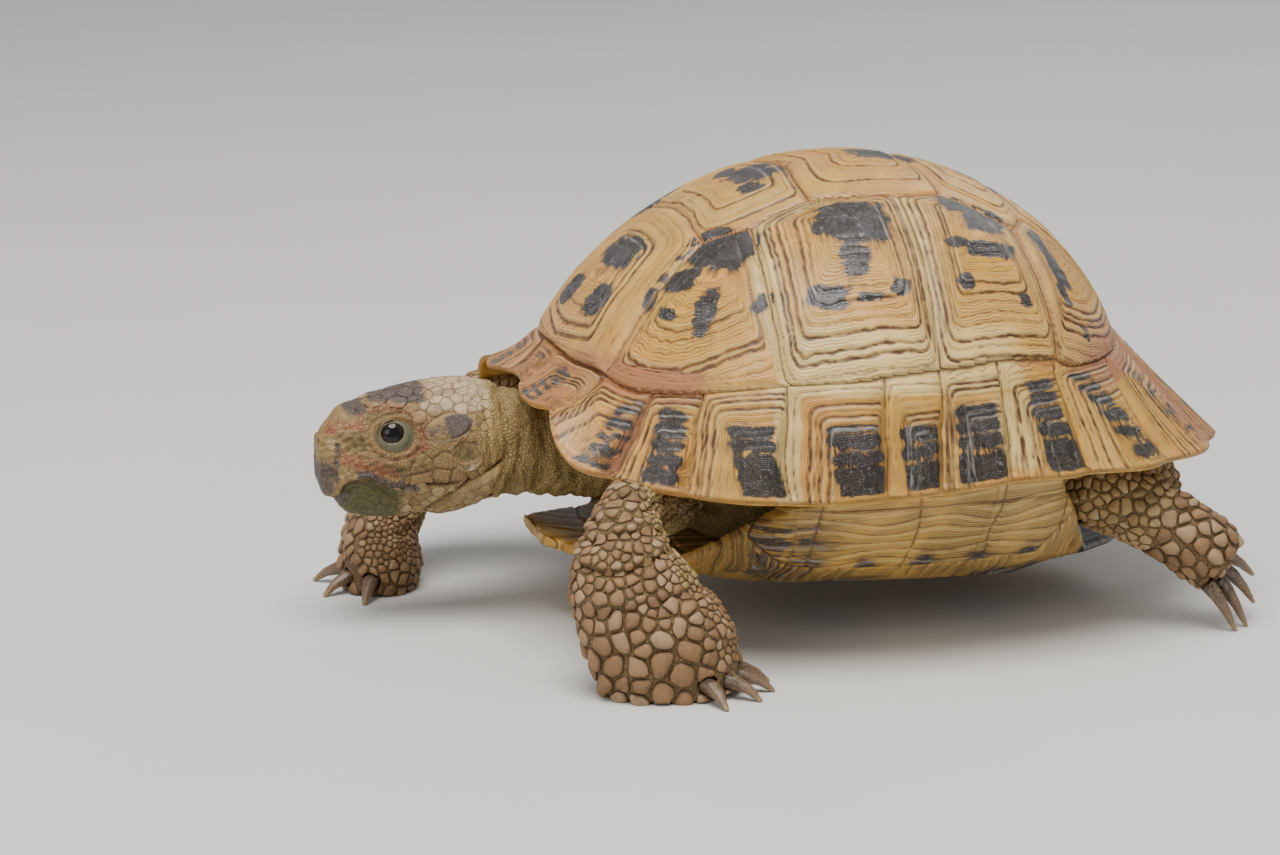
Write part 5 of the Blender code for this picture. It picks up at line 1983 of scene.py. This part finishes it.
def make_stage(settings):
    shape = bmesh.new()
    bmesh.ops.create_grid(shape, x_segments=40, y_segments=40, size=4.0)
    mesh = mesh_from("studio_floor", shape)
    mesh.materials.append(floor_material(settings))
    mesh.shade_smooth()
    floor = bpy.data.objects.new("studio_floor", mesh)
    scene = bpy.context.scene
    scene.collection.objects.link(floor)

    scene.world = bpy.data.worlds.new("soft_daylight")
    scene.world.use_nodes = True
    sky = scene.world.node_tree.nodes["Background"].inputs
    sky["Color"].default_value, sky["Strength"].default_value = SKY
    for name, place, size, power, colour in LAMPS:
        light = bpy.data.lights.new(name, "AREA")
        light.shape, light.size, light.energy, light.color = "DISK", size, power, colour
        lamp = bpy.data.objects.new(name, light)
        lamp.location = place
        aim = Vector((0, 0, 0.04)) - Vector(place)
        lamp.rotation_euler = aim.to_track_quat("-Z", "Y").to_euler()
        scene.collection.objects.link(lamp)
    place_camera(settings)


def place_camera(settings):
    azimuth, elevation = settings.azimuth, settings.elevation
    back = Vector((
        math.sin(azimuth) * math.cos(elevation),
        -math.cos(azimuth) * math.cos(elevation),
        math.sin(elevation),
    ))
    right = Vector((math.cos(azimuth), math.sin(azimuth), 0))
    up = back.cross(right)
    spread = SENSOR / settings.lens * settings.distance
    target = Vector((SHIFT[0], SHIFT[1], RIM_HEIGHT))
    place = target - right * (SHELL_ASIDE * spread) - up * (SHELL_ABOVE * spread)
    data = bpy.data.cameras.new("camera")
    data.lens, data.sensor_width, data.clip_start = settings.lens, SENSOR, 0.01
    camera = bpy.data.objects.new("camera", data)
    turned = Matrix((right, up, back)).transposed().to_4x4()
    camera.matrix_world = Matrix.Translation(place + back * settings.distance) @ turned
    bpy.context.scene.collection.objects.link(camera)
    bpy.context.scene.camera = camera


# ------------ add-on

BUILT = {}


class PieceOperator:
    bl_options = {"REGISTER", "UNDO"}


class TORTOISE_OT_carapace(PieceOperator, bpy.types.Operator):
    """Builds the carapace with its scutes, growth ledges and seams"""

    bl_idname = "tortoise.carapace"
    bl_label = "Carapace"

    def execute(self, context):
        make_carapace(context.scene.tortoise_shell)
        return {"FINISHED"}


class TORTOISE_OT_plastron(PieceOperator, bpy.types.Operator):
    """Builds the plastron and its bridges"""

    bl_idname = "tortoise.plastron"
    bl_label = "Plastron"

    def execute(self, context):
        make_plastron(context.scene.tortoise_shell)
        return {"FINISHED"}


class TORTOISE_OT_skin(PieceOperator, bpy.types.Operator):
    """Builds one skin over head, neck, body, legs and tail"""

    bl_idname = "tortoise.skin"
    bl_label = "Skin"

    def execute(self, context):
        BUILT["skin"], BUILT["part"] = make_skin(context.scene.tortoise_skin)
        return {"FINISHED"}


class TORTOISE_OT_scales(PieceOperator, bpy.types.Operator):
    """Grows the horny scales over the skin"""

    bl_idname = "tortoise.scales"
    bl_label = "Scales"

    def execute(self, context):
        if "skin" not in BUILT:
            raise RuntimeError("build the skin before its scales")
        make_scales(context.scene.tortoise_skin, BUILT["skin"], BUILT["part"])
        return {"FINISHED"}


class TORTOISE_OT_eyes(PieceOperator, bpy.types.Operator):
    """Sets both eyes into their lids"""

    bl_idname = "tortoise.eyes"
    bl_label = "Eyes"

    def execute(self, context):
        make_eyes()
        return {"FINISHED"}


class TORTOISE_OT_claws(PieceOperator, bpy.types.Operator):
    """Sets four claws into each foot"""

    bl_idname = "tortoise.claws"
    bl_label = "Claws"

    def execute(self, context):
        make_claws()
        return {"FINISHED"}


class TORTOISE_OT_stage(PieceOperator, bpy.types.Operator):
    """Lays the floor and sets the lights and the camera"""

    bl_idname = "tortoise.stage"
    bl_label = "Stage"

    def execute(self, context):
        make_stage(context.scene.tortoise_stage)
        return {"FINISHED"}


OPERATORS = (
    TORTOISE_OT_carapace,
    TORTOISE_OT_plastron,
    TORTOISE_OT_skin,
    TORTOISE_OT_scales,
    TORTOISE_OT_eyes,
    TORTOISE_OT_claws,
    TORTOISE_OT_stage,
)


class TORTOISE_PT_panel(bpy.types.Panel):
    """Lists the sizes, colours and pieces of the tortoise"""

    bl_idname = "TORTOISE_PT_panel"
    bl_label = "Tortoise"
    bl_space_type = "VIEW_3D"
    bl_region_type = "UI"
    bl_category = "Tortoise"

    def draw(self, context):
        scene = context.scene
        for group in (scene.tortoise_shell, scene.tortoise_skin, scene.tortoise_stage):
            box = self.layout.box()
            for name in group.__annotations__:
                box.prop(group, name)
        for operator in OPERATORS:
            self.layout.operator(operator.bl_idname)


SETTINGS = {
    "tortoise_shell": ShellSettings,
    "tortoise_skin": SkinSettings,
    "tortoise_stage": StageSettings,
}


def register():
    for made in (*SETTINGS.values(), *OPERATORS, TORTOISE_PT_panel):
        bpy.utils.register_class(made)
    for name, group in SETTINGS.items():
        setattr(bpy.types.Scene, name, PointerProperty(type=group))


def unregister():
    for name in SETTINGS:
        delattr(bpy.types.Scene, name)
    for made in (TORTOISE_PT_panel, *reversed(OPERATORS), *SETTINGS.values()):
        bpy.utils.unregister_class(made)


def main():
    register()
    for operator in OPERATORS:
        group, name = operator.bl_idname.split(".")
        getattr(getattr(bpy.ops, group), name)()
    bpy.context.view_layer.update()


if __name__ == "__main__":
    main()
